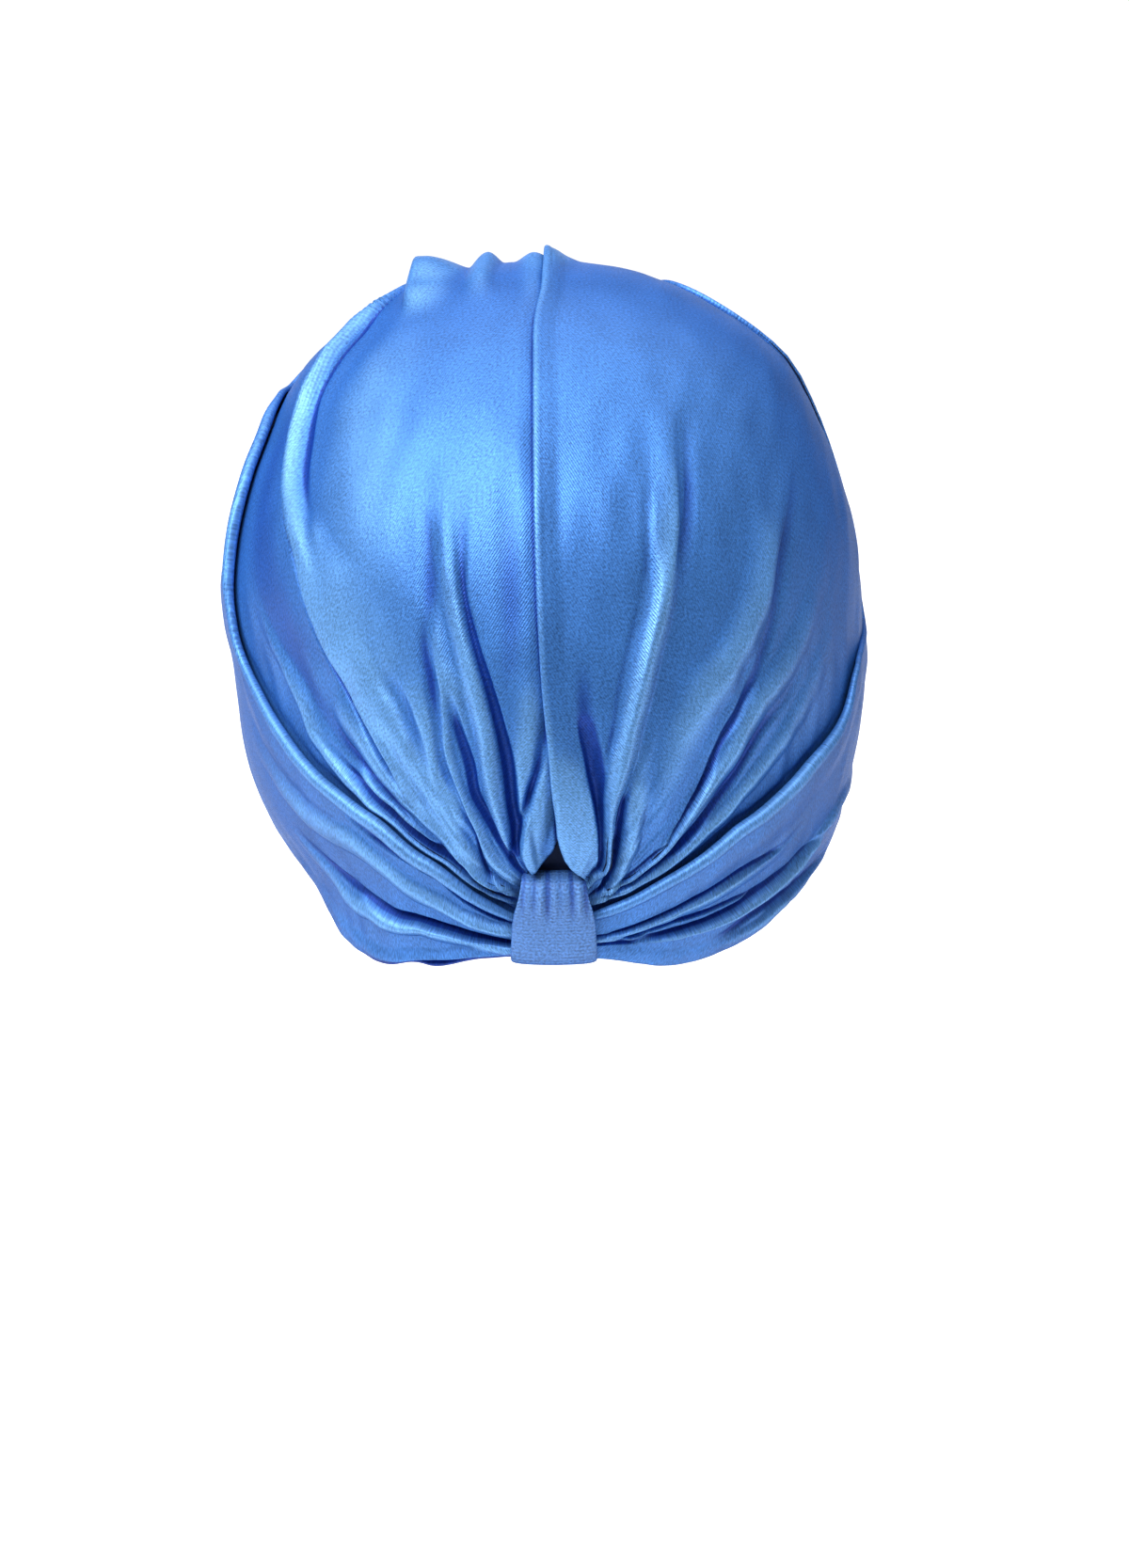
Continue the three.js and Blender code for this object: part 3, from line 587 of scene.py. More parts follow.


# %% [markdown]
# ## Satin knit
# The knit is one shared group. By its `fold` attribute it paints shade and highlight into the
# colour, a deeper blue in a furrow as painted shade and a paler one on a crest as a painted
# highlight, and adds a speckled grain and the fine diagonal wales, which follow the piece's own
# UV map.


# %% Satin knit
SPECKLE_SCALE, CLOUD_SCALE = 1.5, 0.06
SPECKLE_SHARE, WALE_SHARE, CLOUD_SHARE = 2.0, 0.12, 0.5
WALE_HEIGHT = 0.25
# Painted shade in furrows and painted highlight on crests, by the fold attribute.
PAINTED_FOLD_LIGHT_AND_SHADE = (("Painted furrow shade", -1.3, 0.9), ("Painted crest highlight", 2.6, 0.6))  # colour, mm where it is full, share
KNIT_INPUTS = {
    "NodeSocketColor": ("Base", "Painted furrow shade", "Painted crest highlight"),
    "NodeSocketFloat": ("Grain", "Wale pitch", "Across", "Along"),
}


def knit_group():
    group = bpy.data.node_groups.new("knit", "ShaderNodeTree")
    face = group.interface
    for kind, names in KNIT_INPUTS.items():
        for name in names:
            face.new_socket(name, in_out="INPUT", socket_type=kind)
    face.new_socket("Color", in_out="OUTPUT", socket_type="NodeSocketColor")
    face.new_socket("Height", in_out="OUTPUT", socket_type="NodeSocketFloat")
    node, link = group.nodes.new, group.links.new
    given, outputs = node("NodeGroupInput").outputs, node("NodeGroupOutput")
    uv = node("ShaderNodeUVMap").outputs["UV"]

    def noise(scale):
        made = node("ShaderNodeTexNoise")
        made.inputs["Scale"].default_value = scale
        made.inputs["Detail"].default_value = 2.0
        link(uv, made.inputs["Vector"])
        return math("SUBTRACT", made.outputs["Fac"], 0.5)

    def math(kind, *values):
        made = node("ShaderNodeMath")
        made.operation = kind
        for socket, value in zip(made.inputs, values):
            if isinstance(value, (int, float)):
                socket.default_value = value
            else:
                link(value, socket)
        return made.outputs[0]

    grain, cloud = noise(SPECKLE_SCALE), noise(CLOUD_SCALE)
    place_on_cloth = node("ShaderNodeSeparateXYZ")
    link(uv, place_on_cloth.inputs["Vector"])
    over = math("MULTIPLY", place_on_cloth.outputs["X"], given["Across"])
    diagonal = math("ADD", over, math("MULTIPLY", place_on_cloth.outputs["Y"], given["Along"]))
    turns = math("DIVIDE", diagonal, given["Wale pitch"])
    wale = math("SINE", math("MULTIPLY", turns, 6.2832))
    shade = math("MULTIPLY", grain, SPECKLE_SHARE)
    shade = math("ADD", shade, math("MULTIPLY", wale, WALE_SHARE))
    shade = math("ADD", shade, math("MULTIPLY", cloud, CLOUD_SHARE))
    gain = math("ADD", 1.0, math("MULTIPLY", shade, given["Grain"]))
    # Painted shade and highlight: by the fold attribute the colour goes deeper in a furrow and
    # paler on a crest.
    fold = node("ShaderNodeAttribute")
    fold.attribute_name = "fold"
    colour = given["Base"]
    for name, full, share in PAINTED_FOLD_LIGHT_AND_SHADE:
        reach = node("ShaderNodeMapRange")
        reach.interpolation_type = "SMOOTHSTEP"
        for socket, value in zip(("From Min", "From Max", "To Max"), (0, full, share)):
            reach.inputs[socket].default_value = value
        link(fold.outputs["Fac"], reach.inputs["Value"])
        mix = node("ShaderNodeMix")
        mix.data_type = "RGBA"
        for socket, value in zip((0, 6, 7), (reach.outputs[0], colour, given[name])):
            link(value, mix.inputs[socket])
        colour = mix.outputs[2]
    scale = node("ShaderNodeVectorMath")
    scale.operation = "SCALE"
    link(colour, scale.inputs[0])
    link(gain, scale.inputs["Scale"])
    link(scale.outputs[0], outputs.inputs["Color"])
    height = math("ADD", grain, math("MULTIPLY", wale, WALE_HEIGHT))
    link(height, outputs.inputs["Height"])
    return group


knit = knit_group()
print("knit group:", len(knit.nodes), "nodes")

# %% [markdown]
# ## Cloth materials
# Where the cloth turns away from the eye it loses its shine and its colour is multiplied by a
# grey-blue tint, painted shade at grazing angles. The inside finish, near-black painted shade, is
# given to the inner faces and to the recessed cloth in the hole above the loop, and shows only in
# the hole.

# %% Cloth materials
PAINTED_GRAZING_SHADE_TINT = (0.45, 0.56, 0.7, 1)
BUMP_DISTANCE = 0.0001


def cloth_material(name, knit_values, metallic, roughness, bump):
    material = bpy.data.materials.new(name)
    material.use_nodes = True
    nodes, link = material.node_tree.nodes, material.node_tree.links.new
    shader = nodes["Principled BSDF"]
    shader.inputs["Roughness"].default_value = roughness
    facing = nodes.new("ShaderNodeLayerWeight")
    facing.inputs["Blend"].default_value = 0.5
    turned_away = nodes.new("ShaderNodeMapRange")
    turned_away.interpolation_type = "SMOOTHSTEP"
    turned_away.inputs["From Min"].default_value = 0.2
    turned_away.inputs["From Max"].default_value = 0.75
    link(facing.outputs["Facing"], turned_away.inputs["Value"])
    for socket, facing_us, facing_away in (
        ("Specular IOR Level", 0.35, 0.05),
        ("Metallic", metallic, 0),
    ):
        fade = nodes.new("ShaderNodeMapRange")
        fade.inputs["To Min"].default_value = facing_us
        fade.inputs["To Max"].default_value = facing_away
        link(turned_away.outputs[0], fade.inputs["Value"])
        link(fade.outputs[0], shader.inputs[socket])
    pattern = nodes.new("ShaderNodeGroup")
    pattern.node_tree = knit
    for socket, value in knit_values.items():
        pattern.inputs[socket].default_value = value
    # Painted shade: where the cloth turns away from the eye, its colour is multiplied by a
    # grey-blue tint.
    painted_grazing_shade = nodes.new("ShaderNodeMix")
    painted_grazing_shade.data_type = "RGBA"
    painted_grazing_shade.blend_type = "MULTIPLY"
    painted_grazing_shade.inputs[7].default_value = PAINTED_GRAZING_SHADE_TINT
    link(turned_away.outputs[0], painted_grazing_shade.inputs[0])
    link(pattern.outputs["Color"], painted_grazing_shade.inputs[6])
    link(painted_grazing_shade.outputs[2], shader.inputs["Base Color"])
    weave = nodes.new("ShaderNodeBump")
    weave.inputs["Strength"].default_value = bump
    weave.inputs["Distance"].default_value = BUMP_DISTANCE
    link(pattern.outputs["Height"], weave.inputs["Height"])
    link(weave.outputs["Normal"], shader.inputs["Normal"])
    return material


DIAGONAL = {"Wale pitch": 0.7, "Across": 1, "Along": 0.6}
# In each knit, the second colour is painted shade for furrows and the third a painted highlight
# for crests.
SATIN = {
    "Base": (0.05, 0.185, 0.54, 1),
    "Painted furrow shade": (0.006, 0.042, 0.32, 1),
    "Painted crest highlight": (0.18, 0.43, 0.82, 1),
    "Grain": 0.85,
    **DIAGONAL,
}
RIBBED = {
    "Base": (0.075, 0.2, 0.52, 1),
    "Painted furrow shade": (0.02, 0.08, 0.36, 1),
    "Painted crest highlight": (0.16, 0.34, 0.72, 1),
    "Grain": 1,
    "Wale pitch": 1.1,
    "Across": 0,
    "Along": 1,
}
# Near-black for the inner faces and for the recessed cloth in the hole above the loop: painted
# shade, not the cloth's own colour.
PAINTED_DARK_INSIDE = dict.fromkeys(("Base", "Painted furrow shade", "Painted crest highlight"), (0.006, 0.014, 0.05, 1))
PAINTED_DARK_INSIDE_KNIT = {**PAINTED_DARK_INSIDE, "Grain": 0.3, **DIAGONAL}
satin = cloth_material("satin knit", SATIN, metallic=0.45, roughness=0.43, bump=0.8)
ribbed = cloth_material("ribbed knit", RIBBED, metallic=0, roughness=0.6, bump=1.6)
painted_dark_inside = cloth_material(
    "satin knit inside, painted dark", PAINTED_DARK_INSIDE_KNIT, metallic=0, roughness=0.9, bump=0.3
)
print("materials:", [material.name for material in (satin, ribbed, painted_dark_inside)])

# %% [markdown]
# ## The seen outline
# The worn cap is a little wider or narrower than the plain head form. `OUTLINE` says by how much
# at each height on each side, so that the outline meets the photo's. The hem's left corner also
# hangs a little lower.

# %% The seen outline
OUTLINE = {
    LEFT: [  # height above the widest level, mm outwards
        (-90, 0), (-82, -0.8), (-76, -3), (-70, -4.4),
        (-63, -3.2), (-55, -0.8), (-45, 0.7), (-33, 1.2),
        (-22, 0.8), (-12, 1), (-3, 2.6), (8, 3.5),
        (18, 3.1), (28, 2.6), (39, 1.3), (50, 0),
        (60, 0.8), (71, 2), (82, 1.5), (90, 8),
        (96, 9),
    ],
    RIGHT: [
        (-90, 3.9), (-81, 5.2), (-72, 3.5), (-55, 3.4),
        (-45, 2.9), (-24, 2.7), (-13, 1.8), (-3, 0.5),
        (8, 0), (28, -0.3), (45, -1), (60, 0),
        (71, 1.8), (84, 0),
    ],
}
OUTLINE_HALF_WIDTH = 88
HEM_CORNER = 3.5


def pulled(side, points):
    out = points.copy()
    wide = np.abs(points[..., 0])
    out[..., 0] *= 1 + smooth(OUTLINE[side], 1, points[..., 2]) / OUTLINE_HALF_WIDTH
    if side == LEFT:
        corner = ramp(wide, 32, 46) * (1 - ramp(wide, 54, 70))
        out[..., 2] -= HEM_CORNER * corner * ramp(points[..., 2], -62, -86)
    return out


widest = {side: max(OUTLINE[side], key=lambda row: row[1]) for side in OUTLINE}
print("widened most, at height and by mm:", widest)

# %% [markdown]
# ## From heights to a cloth piece
# A piece starts as Blender's grid. Its vertices move to the heights on the lay, its UV map
# becomes millimetres on the cloth, its `fold` attribute holds the folds' heights with painted
# shade and painted highlights added, and Solidify gives it a wall whose inner faces take the
# second finish, painted near-black as shade. An edge that is turned under runs round in a half
# circle.


# %% From heights to a cloth piece
SMALL_STEP = 0.004


def place(side, across, arches, height, slide):
    along = np.repeat(arches.along[:, None], across.shape[1], 1)
    direction = lay(side, across, along)
    ahead = head_point(lay(side, across + SMALL_STEP, along))
    behind = head_point(lay(side, across - SMALL_STEP, along))
    tangent = unit(ahead - behind)
    points = head_point(direction) + outward(direction) * height[..., None]
    return pulled(side, points + tangent * slide[..., None])


def turned_edge(top, radius, steps):
    turn = np.linspace(-0.5 * np.pi, 0.5 * np.pi, steps + 1)[None, :-1]
    return top - radius * (1 - np.sin(turn)), -radius * np.cos(turn) * np.ones_like(top)


def lengths_like(arc):
    return np.repeat(LENGTHS[:, None], arc.shape[1], 1)


def cloth_map(arc, slide):
    return np.stack([arc + slide, lengths_like(arc)], -1)


def outward_faces(side, *grids):
    return grids if side == RIGHT else tuple(grid[:, ::-1] for grid in grids)


def cloth_piece(name, points, cloth_uv, fold, wall, finishes, painted_dark_faces=None):
    rows, columns = points.shape[:2]
    bpy.ops.mesh.primitive_grid_add(x_subdivisions=columns - 1, y_subdivisions=rows - 1, size=1)
    piece = bpy.context.object
    piece.name = name
    mesh = piece.data
    start = np.empty(len(mesh.vertices) * 3)
    mesh.vertices.foreach_get("co", start)
    start = start.reshape(-1, 3) + 0.5
    i = np.rint(start[:, 0] * (columns - 1)).astype(int)
    j = np.rint(start[:, 1] * (rows - 1)).astype(int)
    moved = (points[j, i] - [0, 0, RISE]) * METRES
    mesh.vertices.foreach_set("co", moved.ravel())
    corner = np.empty(len(mesh.loops), int)
    mesh.loops.foreach_get("vertex_index", corner)
    mesh.uv_layers[0].data.foreach_set("uv", cloth_uv[j, i][corner].ravel())
    depth = mesh.attributes.new("fold", "FLOAT", "POINT")
    depth.data.foreach_set("value", fold[j, i].astype(np.float32))
    mesh.update()
    bpy.ops.object.shade_smooth()
    for finish in finishes:
        mesh.materials.append(finish)
    # Faces marked here take the second finish, painted near-black as shade in the hole.
    if painted_dark_faces is not None:
        first = np.empty(len(mesh.polygons), int)
        mesh.polygons.foreach_get("loop_start", first)
        painted_dark_polygons = painted_dark_faces[j, i][corner[first]]
        mesh.polygons.foreach_set("material_index", painted_dark_polygons.astype(np.int32))
    if wall:
        solidify = piece.modifiers.new("wall", "SOLIDIFY")
        solidify.thickness = wall * METRES
        solidify.offset = -1
        # The wall's inner faces take the second finish, painted near-black as shade.
        solidify.material_offset = 1
        bpy.ops.object.modifier_apply(modifier="wall")
    bpy.ops.object.select_all(action="DESELECT")
    print(name, len(piece.data.polygons) * 2, "triangles")
    return piece


# %% [markdown]
# ## Crown panels
# The right panel's seam edge is turned under into a thin bead that lies over the left panel, with
# a painted highlight along the bead. The left panel runs on under it with painted shade beside
# the bead, and in the hole above the loop it sinks and is painted nearly black, as painted shade.

# %% Crown panels
ROWS, COLUMNS, BEAD_STEPS = 215, 205, 8
STATION_CROWDING = 1.35  # over 1, so that the rows are closer near the loop
NAPE_TO_FOREHEAD = 330
STATIONS = np.linspace(0, 1, ROWS) ** STATION_CROWDING
LENGTHS = STATIONS * NAPE_TO_FOREHEAD
LOFT_ROWS = eased(LOFT, 1, STATIONS)[:, None]
PRESSED = ramp(STATIONS, 0, 0.05)[:, None]
# Painted contrast: near the loop the fold attribute is raised up to 1.8 times, so its painted
# shade and highlight grow stronger.
PAINTED_CONTRAST_NEAR_LOOP = 1 + 0.8 * (1 - ramp(STATIONS, 0.15, 0.4)[:, None])
ROLLED = {
    side: ramp(eased(WRAP_EDGE[side], 2, STATIONS), 0.8, 2)[:, None] for side in (LEFT, RIGHT)
}
BEAD, BEAD_LIFT, SEAM_LIFT, BEAD_SHINE = 0.75, 0.4, 1.1, 1.2
UNDERLAP, TUCK, SEAM_TUCK, SEAM_SHADE = 2.2, 0.2, 0.9, 2.5
# In the hole the recessed cloth is painted nearly black, as painted shade.
RECESS = 0.3  # the height of the wrong side in the hole
# SUNK also lowers the fold attribute along the wrap's edge: painted shade there.
SUNK = 0.6  # how much deeper the panel lies along the wrap's edge
CROWN_PLEATS, CROWN_PLEAT_SHARE, CROWN_SHIFT = 2.5, 0.7, 40


def off_the_head(height):  # eases heights below zero back to just under it
    return 0.5 * (height + np.sqrt(height**2 + 0.8)) - 0.3


def crown_height(side, arches, arc, edge):
    flat = 1 - ramp(arc, edge - 2.2, edge - 0.2)
    share = arc / np.maximum(edge, 1)
    pleats = front_pleats(share, STATIONS, CROWN_PLEATS) * CROWN_PLEAT_SHARE
    wrinkles = fine_pleats(arches.across_at(arc), STATIONS, side)
    wrinkles += unevenness(arc + CROWN_SHIFT * side, lengths_like(arc))
    fold = (relief(CROWN_FOLDS[side], arches, arc) + pleats) * PRESSED
    sunk_and_painted_shade = SUNK * ramp(arc, edge - 2.4, edge - 1) * (1 - ramp(arc, edge, edge + 3))
    sunk_and_painted_shade *= 1 - 0.8 * ramp(STATIONS, 0.22, 0.36)[:, None]
    sunk_and_painted_shade *= ROLLED[side]
    height = CLOTH + off_the_head(LOFT_ROWS + (fold + wrinkles) * flat - sunk_and_painted_shade)
    # The fold attribute returned here carries painted shade and highlight by fold height, made
    # stronger near the loop, and painted shade along the wrap's edge.
    return height, fold * flat * PAINTED_CONTRAST_NEAR_LOOP - sunk_and_painted_shade


def tuck_under(arc, start, left_edge, right_edge, height, fold):
    from_start = arc - start
    parted = ramp(right_edge - left_edge, 0.1, 1.5)
    beyond = ramp(arc, -left_edge + 0.4, -left_edge - 0.8) * parted
    closed = ramp(STATIONS, 0.06, 0.11)[:, None]
    height = height - TUCK - SEAM_TUCK * (1 - ramp(from_start, UNDERLAP, 7)) * closed
    height += (RECESS - height) * beyond
    # The third value marks the faces in the hole that get the painted near-black shade.
    return height, fold - SEAM_SHADE * (1 - ramp(from_start, 2, 4.2)), beyond > 0.2


def crown_panel(side):
    arches = Arches(side, STATIONS)
    edge = arches.arc(smooth(WRAP_EDGE[side], 1, STATIONS)[:, None])
    left_edge, right_edge = (smooth(SEAM, k, STATIONS)[:, None] for k in (1, 2))
    start = right_edge if side == RIGHT else -right_edge - UNDERLAP
    arc = start + np.linspace(0, 1, COLUMNS)[None, :] * (edge + LAP - start)
    height, fold = crown_height(side, arches, arc, edge)
    slide = np.zeros_like(arc)
    if side == LEFT:
        height, fold, beyond = tuck_under(arc, start, left_edge, right_edge, height, fold)
    else:
        from_start = arc - start
        height += SEAM_LIFT * (1 - ramp(from_start, 1.2, 6))
        height += BEAD_LIFT * (1 - ramp(from_start, 0.6, 1.8))
        bead_height, bead_slide = turned_edge(height[:, :1], BEAD, BEAD_STEPS)
        arc = np.concatenate([np.repeat(start, BEAD_STEPS, 1), arc], 1)
        height = np.concatenate([bead_height, height], 1)
        slide = np.concatenate([bead_slide, slide], 1)
        fold = np.concatenate([np.repeat(fold[:, :1], BEAD_STEPS, 1), fold], 1)
        fold += BEAD_SHINE * (1 - ramp(arc - start, 0, 1.6))
        beyond = np.zeros_like(arc, bool)
    points = place(side, arches.across_at(arc), arches, height, slide)
    grids = outward_faces(side, points, cloth_map(arc, slide), fold, beyond)
    name = "cloth_crown_left" if side == LEFT else "cloth_crown_right"
    return cloth_piece(name, *grids[:3], CLOTH, (satin, painted_dark_inside), grids[3])


crown_left = crown_panel(LEFT)
crown_right = crown_panel(RIGHT)

# %% [markdown]
# ## Side wraps
# A wrap's upper edge is a soft roll: its cloth comes up from the panel below, turns over and
# runs down to the hem, which is turned under in the same way.

# %% Side wraps
WRAP_COLUMNS, CURL_STEPS, HEM_STEPS = 165, 12, 8
COLUMN_CROWDING = 1.15  # over 1, so that the columns are closer near the roll
WRAP_WALL, HEM_RADIUS, LEAST_CURL, CLEARANCE = CLOTH * 0.6, 0.9, 0.5, 0.3
WRAP_PLEATS, WRAP_UNEVENNESS, WRAP_SHIFT = 6, 0.5, -30
WRAP_FOLD_GAIN, CREST_SHINE = 1.25, 0.6
LOW_HEM_LIFT = {LEFT: 1.1, RIGHT: 0}


def wrap_height(side, arches, arc, edge, hem, share):
    roll = eased(WRAP_EDGE[side], 2, STATIONS)[:, None]
    inside = arc - edge
    over = CLOTH * (0.35 + 0.65 * ROLLED[side]) + 0.15
    crest = roll * (1 - ramp(inside, 0.1 * roll, 0.8 + 1.1 * roll))
    from_edge = ramp(inside, 0.6, 2.4)
    fold = WRAP_FOLD_GAIN * relief(WRAP_FOLDS[side], arches, arc) * PRESSED * from_edge
    wrinkles = WRAP_UNEVENNESS * unevenness(arc + WRAP_SHIFT * side, lengths_like(arc))
    wrinkles += front_pleats(share, STATIONS, WRAP_PLEATS)
    height = CLOTH + LOFT_ROWS + over * (1 - ramp(inside, LAP, LAP + 8))
    height = height + crest * (0.35 + 0.65 * PRESSED) + fold + wrinkles * from_edge
    low = (1 - ramp(STATIONS, 0.12, 0.3))[:, None] * PRESSED
    height += (0.5 + LOW_HEM_LIFT[side] * low) * (1 - ramp(hem - arc, 1.5, 5))
    # The fold attribute returned here carries painted shade and highlight by fold height, made
    # stronger near the loop, and a painted highlight on the roll's crest.
    return height, fold * PAINTED_CONTRAST_NEAR_LOOP + CREST_SHINE * crest


def side_wrap(side):
    arches = Arches(side, STATIONS)
    edge = arches.arc(smooth(WRAP_EDGE[side], 1, STATIONS)[:, None])
    hem = arches.arc(np.ones((ROWS, 1)))
    share = np.linspace(0, 1, WRAP_COLUMNS)[None, :] ** COLUMN_CROWDING
    arc = edge + share * (hem - edge)
    height, fold = wrap_height(side, arches, arc, edge, hem, share)
    under = CLOTH + LOFT_ROWS + CLOTH + 0.1
    radius = np.maximum(height[:, :1] - under, LEAST_CURL) / 2 + 0.5
    curl_height, curl_slide = turned_edge(height[:, :1], radius, CURL_STEPS)
    hem_height, hem_slide = turned_edge(height[:, -1:], HEM_RADIUS, HEM_STEPS)
    slide = np.concatenate([curl_slide, np.zeros_like(arc), -hem_slide[:, ::-1]], 1)
    height = np.concatenate([curl_height, height, hem_height[:, ::-1]], 1)
    arc = np.concatenate([np.repeat(edge, CURL_STEPS, 1), arc, np.repeat(hem, HEM_STEPS, 1)], 1)
    fold = np.pad(fold, ((0, 0), (CURL_STEPS, HEM_STEPS)), "edge")
    points = place(side, arches.across_at(arc), arches, height, slide)
    points[..., 0] += side * CLEARANCE
    name = "cloth_wrap_left" if side == LEFT else "cloth_wrap_right"
    grids = outward_faces(side, points, cloth_map(arc, slide), fold)
    return cloth_piece(name, *grids, WRAP_WALL, (satin, painted_dark_inside))


wrap_left = side_wrap(LEFT)
wrap_right = side_wrap(RIGHT)

# %% [markdown]
# ## Nape loop
# A ribbed band round the gathers, narrower at its top, with rounded edges. It is a closed tube:
# `RING` points run round its section and `TURNS` sections round the gathers. The ends are merged.

# %% Nape loop
TAB_WIDTH, TAB_WAIST, TAB_HEIGHT, NAPE_TILT, TAB_SHIFT = 21.4, 17.6, 28.0, -49.5, 1.6
NAPE_RADIUS = RISE * 1.2
SQUARE_UPRIGHT, SQUARE_DEEP = 0.45, 0.6  # under 1, so that the loop's side view is nearly square
TAB_INNER, TAB_OUTER, TAB_ROUNDING, TAB_WALL = -0.5, 7.6, 0.8, 0.75
TURNS, RING = 120, 61
TAB_GATHERS = ((1, 3.3, 0.25), (0.6, 5.3, 0))  # weight, pitch, start
GATHER_HEIGHT, TAB_BEND = 0.35, 0.006


def rounded(value, power):
    return np.sign(value) * np.abs(value) ** power


def nape_loop():
    angle = np.linspace(0, 2 * np.pi, TURNS + 1)[:, None]
    face = np.cos(np.linspace(0, np.pi, RING))
    edge_round = TAB_ROUNDING * np.sqrt(1 - face**8) ** 0.8
    across = np.r_[face, face[-2::-1]] * np.ones_like(angle)
    thick = np.r_[edge_round, -edge_round[-2::-1]] * np.ones_like(angle)
    half_height = TAB_HEIGHT / 2 - 1.5
    middle, half_depth = (TAB_INNER + TAB_OUTER) / 2, (TAB_OUTER - TAB_INNER) / 2
    rise = (half_height + TAB_WALL + thick) * rounded(np.cos(angle), SQUARE_UPRIGHT)
    depth = middle + (half_depth + TAB_WALL + thick) * rounded(np.sin(angle), SQUARE_DEEP)
    taper = ramp(rise / half_height, 0, 1.1)
    x = (TAB_WIDTH + (TAB_WAIST - TAB_WIDTH) * taper) * across / 2
    tilt = np.radians(NAPE_TILT) + (half_height + 0.6 + rise) / NAPE_RADIUS
    gathers = sum(w * np.sin(TURN * (x / pitch + start)) for w, pitch, start in TAB_GATHERS)
    gathers *= ramp(rise / half_height, -0.1, 0.8)
    depth = depth + (GATHER_HEIGHT * gathers - TAB_BEND * x**2) * (depth > middle)
    sideways = (x + TAB_SHIFT) * RISE / (HALF_WIDTH * NAPE_RADIUS)
    back = np.sqrt(np.cos(tilt) ** 2 - sideways**2)
    direction = np.stack([sideways, -back, np.sin(tilt)], -1)
    points = head_point(direction) + outward(direction) * depth[..., None]
    step = np.hypot(np.diff(rise[:, :1], axis=0), np.diff(depth[:, :1], axis=0))
    round_loop = np.concatenate([[[0]], np.cumsum(step, 0)]) * np.ones_like(x)
    return points, np.stack([x, round_loop], -1), gathers


# The gathers also fill the fold attribute, so the ribbed knit paints shade between them and
# highlights on them.
nape_tab = cloth_piece("cloth_nape_tab", *nape_loop(), 0, (ribbed,))
bpy.context.view_layer.objects.active = nape_tab
nape_tab.select_set(True)
bpy.ops.object.mode_set(mode="EDIT")
bpy.ops.mesh.select_all(action="SELECT")
bpy.ops.mesh.remove_doubles(threshold=0.00001)
bpy.ops.mesh.normals_make_consistent(inside=False)
bpy.ops.object.mode_set(mode="OBJECT")
bpy.ops.object.select_all(action="DESELECT")

# %% [markdown]
# ## Ties to the frame
# Each piece stands for its CAD node, whose CAD part is hidden, and rides on the one body.

# %% Ties to the frame
for piece, node, slot, flat in (
    (crown_left, "crown_left", "satin_knit", (0.11, 0.26)),
    (crown_right, "crown_right", "satin_knit", (0.11, 0.26)),
    (wrap_left, "wrap_left", "satin_knit", (0.09, 0.3)),
    (wrap_right, "wrap_right", "satin_knit", (0.09, 0.3)),
    (nape_tab, "nape_tab", "ribbed_knit", (0.021, 0.075)),
):
    area = sum(face.area for face in piece.data.polygons) / 2
    print(piece.name, "one side, square metres:", round(area, 4))
    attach(piece, "root")
    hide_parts(node)

# %% [markdown]
# ## Stage and light
# A pale floor under the cap, a white backdrop in front of the camera, a bright sky overhead and a
# dim one at the sides, and one broad light from the upper left.

# %% Stage and light
FLOOR_SIZE, FLOOR_START, FLOOR_LEVEL = 12, -0.25, -0.29
middle_of_floor = (0, FLOOR_SIZE / 2 + FLOOR_START, FLOOR_LEVEL)
bpy.ops.mesh.primitive_plane_add(size=FLOOR_SIZE, location=middle_of_floor)
floor = bpy.context.object
floor.name = "floor"
paper = bpy.data.materials.new("paper")
paper.use_nodes = True
for socket, value in (
    ("Base Color", (0.9, 0.9, 0.9, 1)),
    ("Roughness", 0.9),
    ("Specular IOR Level", 0),
    ("Emission Color", (1, 1, 1, 1)),
    ("Emission Strength", 0.5),
):
    paper.node_tree.nodes["Principled BSDF"].inputs[socket].default_value = value
floor.data.materials.append(paper)

world = bpy.data.worlds.new("studio")
bpy.context.scene.world = world
world.use_nodes = True
sky_nodes, sky_link = world.node_tree.nodes, world.node_tree.links.new
SIDE_LIGHT, BACK_LIGHT, TOP_LIGHT, BACKDROP, LOW_LIGHT = 0.16, 0.42, 1.8, 0.95, 0.12
look = sky_nodes.new("ShaderNodeTexCoord")
towards = sky_nodes.new("ShaderNodeSeparateXYZ")
sky_link(look.outputs["Generated"], towards.inputs["Vector"])


def sky_fade(socket, near, far, low, high):
    fade = sky_nodes.new("ShaderNodeMapRange")
    fade.interpolation_type = "SMOOTHSTEP"
    sky_link(towards.outputs[socket], fade.inputs["Value"])
    for name, value in zip(("From Min", "From Max", "To Min", "To Max"), (near, far, low, high)):
        fade.inputs[name].default_value = value
    return fade.outputs[0]


def sky_math(kind, first, second):
    made = sky_nodes.new("ShaderNodeMath")
    made.operation = kind
    sky_link(first, made.inputs[0])
    sky_link(second, made.inputs[1])
    return made.outputs[0]


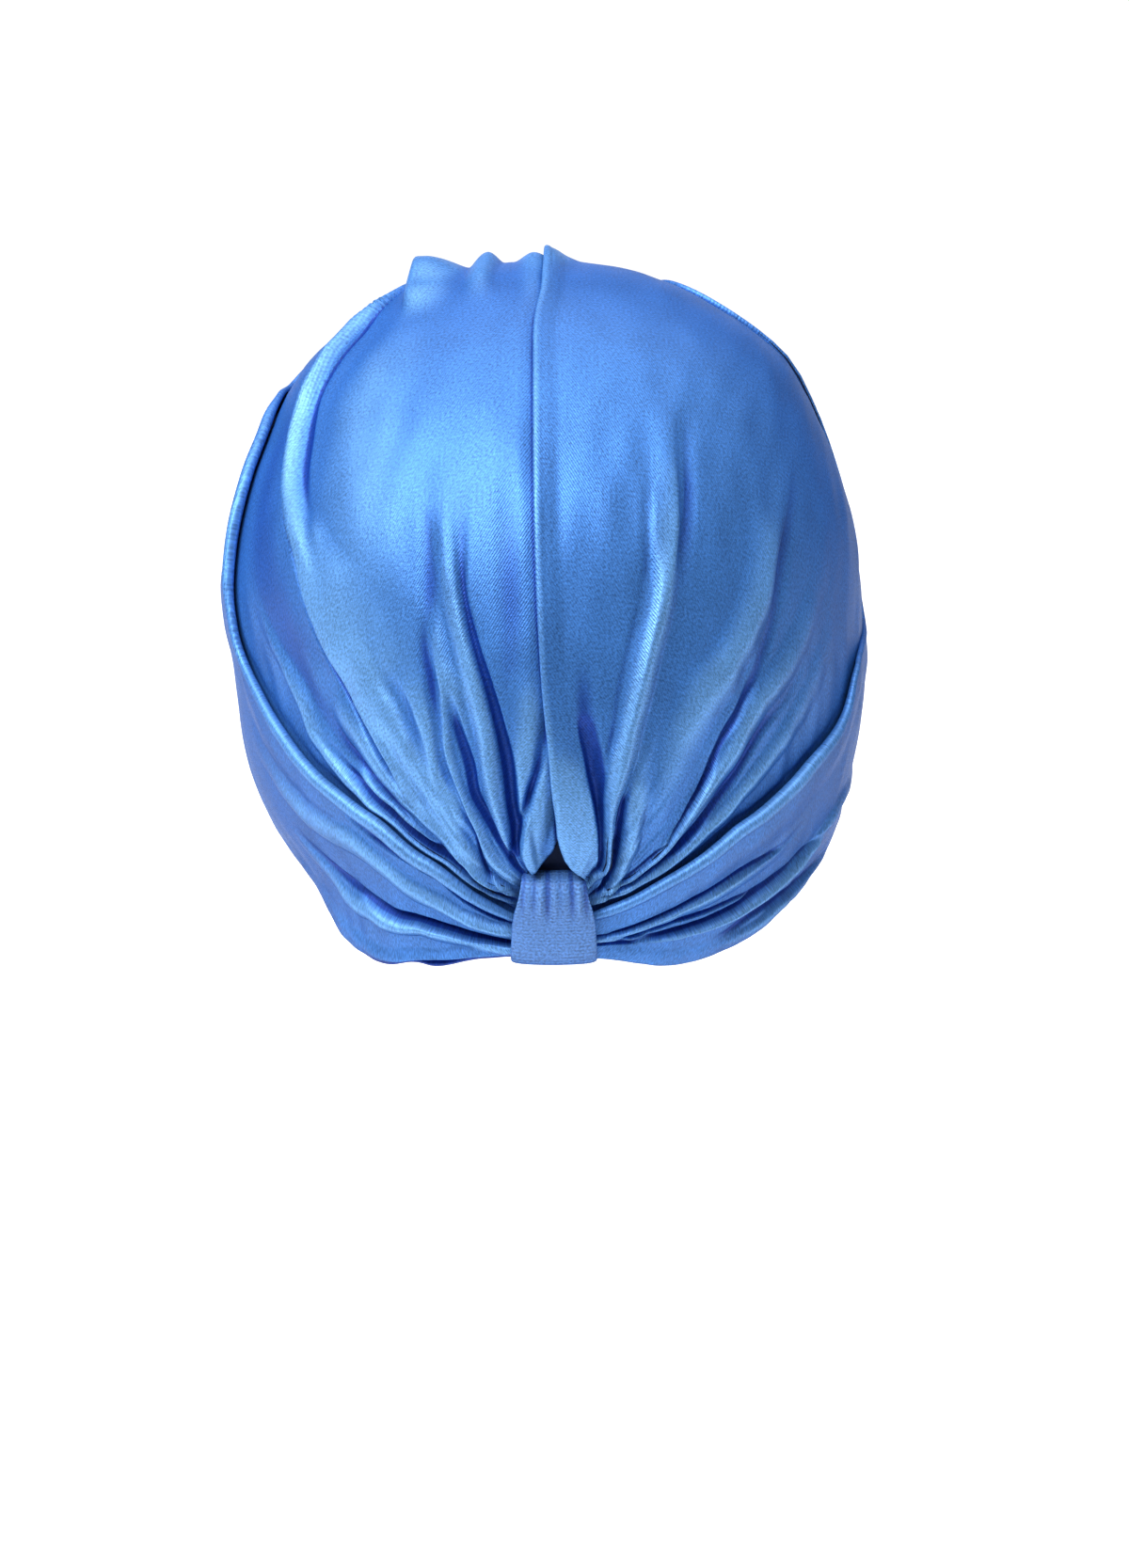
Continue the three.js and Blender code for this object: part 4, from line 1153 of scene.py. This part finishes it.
around = sky_fade("Y", -0.2, -1.0, SIDE_LIGHT, BACK_LIGHT)
total = sky_math("MULTIPLY", around, sky_fade("Z", -0.3, 0.3, LOW_LIGHT, 1))
total = sky_math("ADD", total, sky_fade("Y", 0.86, 0.94, 0, BACKDROP))
total = sky_math("ADD", total, sky_fade("Z", 0.5, 1.0, 0, TOP_LIGHT))
sky = sky_nodes["Background"]
sky_link(total, sky.inputs["Strength"])
sky.inputs["Color"].default_value = (1, 1, 1, 1)

CENTRE = (0, 0, -0.095)
key_data = bpy.data.lights.new("key", "AREA")
key_data.shape = "RECTANGLE"
key_data.size, key_data.size_y = 1.1, 0.8
key_data.energy = 25
key = bpy.data.objects.new("key", key_data)
bpy.context.scene.collection.objects.link(key)
key.location = (-0.55, -0.9, 0.8)
key.rotation_euler = (Vector(CENTRE) - key.location).to_track_quat("-Z", "Y").to_euler()
print("key light at", tuple(key.location))

# %% [markdown]
# ## Camera
# The photo's view: straight from behind, a little from above. The lens makes a pixel of the
# photo's width as wide as it is on the cap, and the shift puts the cap where the photo has it.

# %% Camera
DISTANCE, ELEVATION = 0.85, 5
PHOTO_WIDTH, PIXEL, SENSOR = 1200, 0.262 * METRES, 36
PIXELS_RIGHT, PIXELS_DOWN = 18, 185
camera_data = bpy.data.cameras.new("camera")
camera = bpy.data.objects.new("camera", camera_data)
bpy.context.scene.collection.objects.link(camera)
lean = np.radians(ELEVATION)
camera.location = (0, -DISTANCE * np.cos(lean), DISTANCE * np.sin(lean) + CENTRE[2])
camera.rotation_euler = (np.radians(90 - ELEVATION), 0, 0)
camera_data.sensor_fit = "HORIZONTAL"
camera_data.sensor_width = SENSOR
camera_data.lens = SENSOR * DISTANCE / PIXEL / PHOTO_WIDTH
camera_data.shift_x = PIXELS_RIGHT / PHOTO_WIDTH
camera_data.shift_y = -PIXELS_DOWN / PHOTO_WIDTH
bpy.context.scene.camera = camera
bpy.context.scene.view_settings.view_transform = "Standard"
print("lens, mm:", round(camera_data.lens, 1))
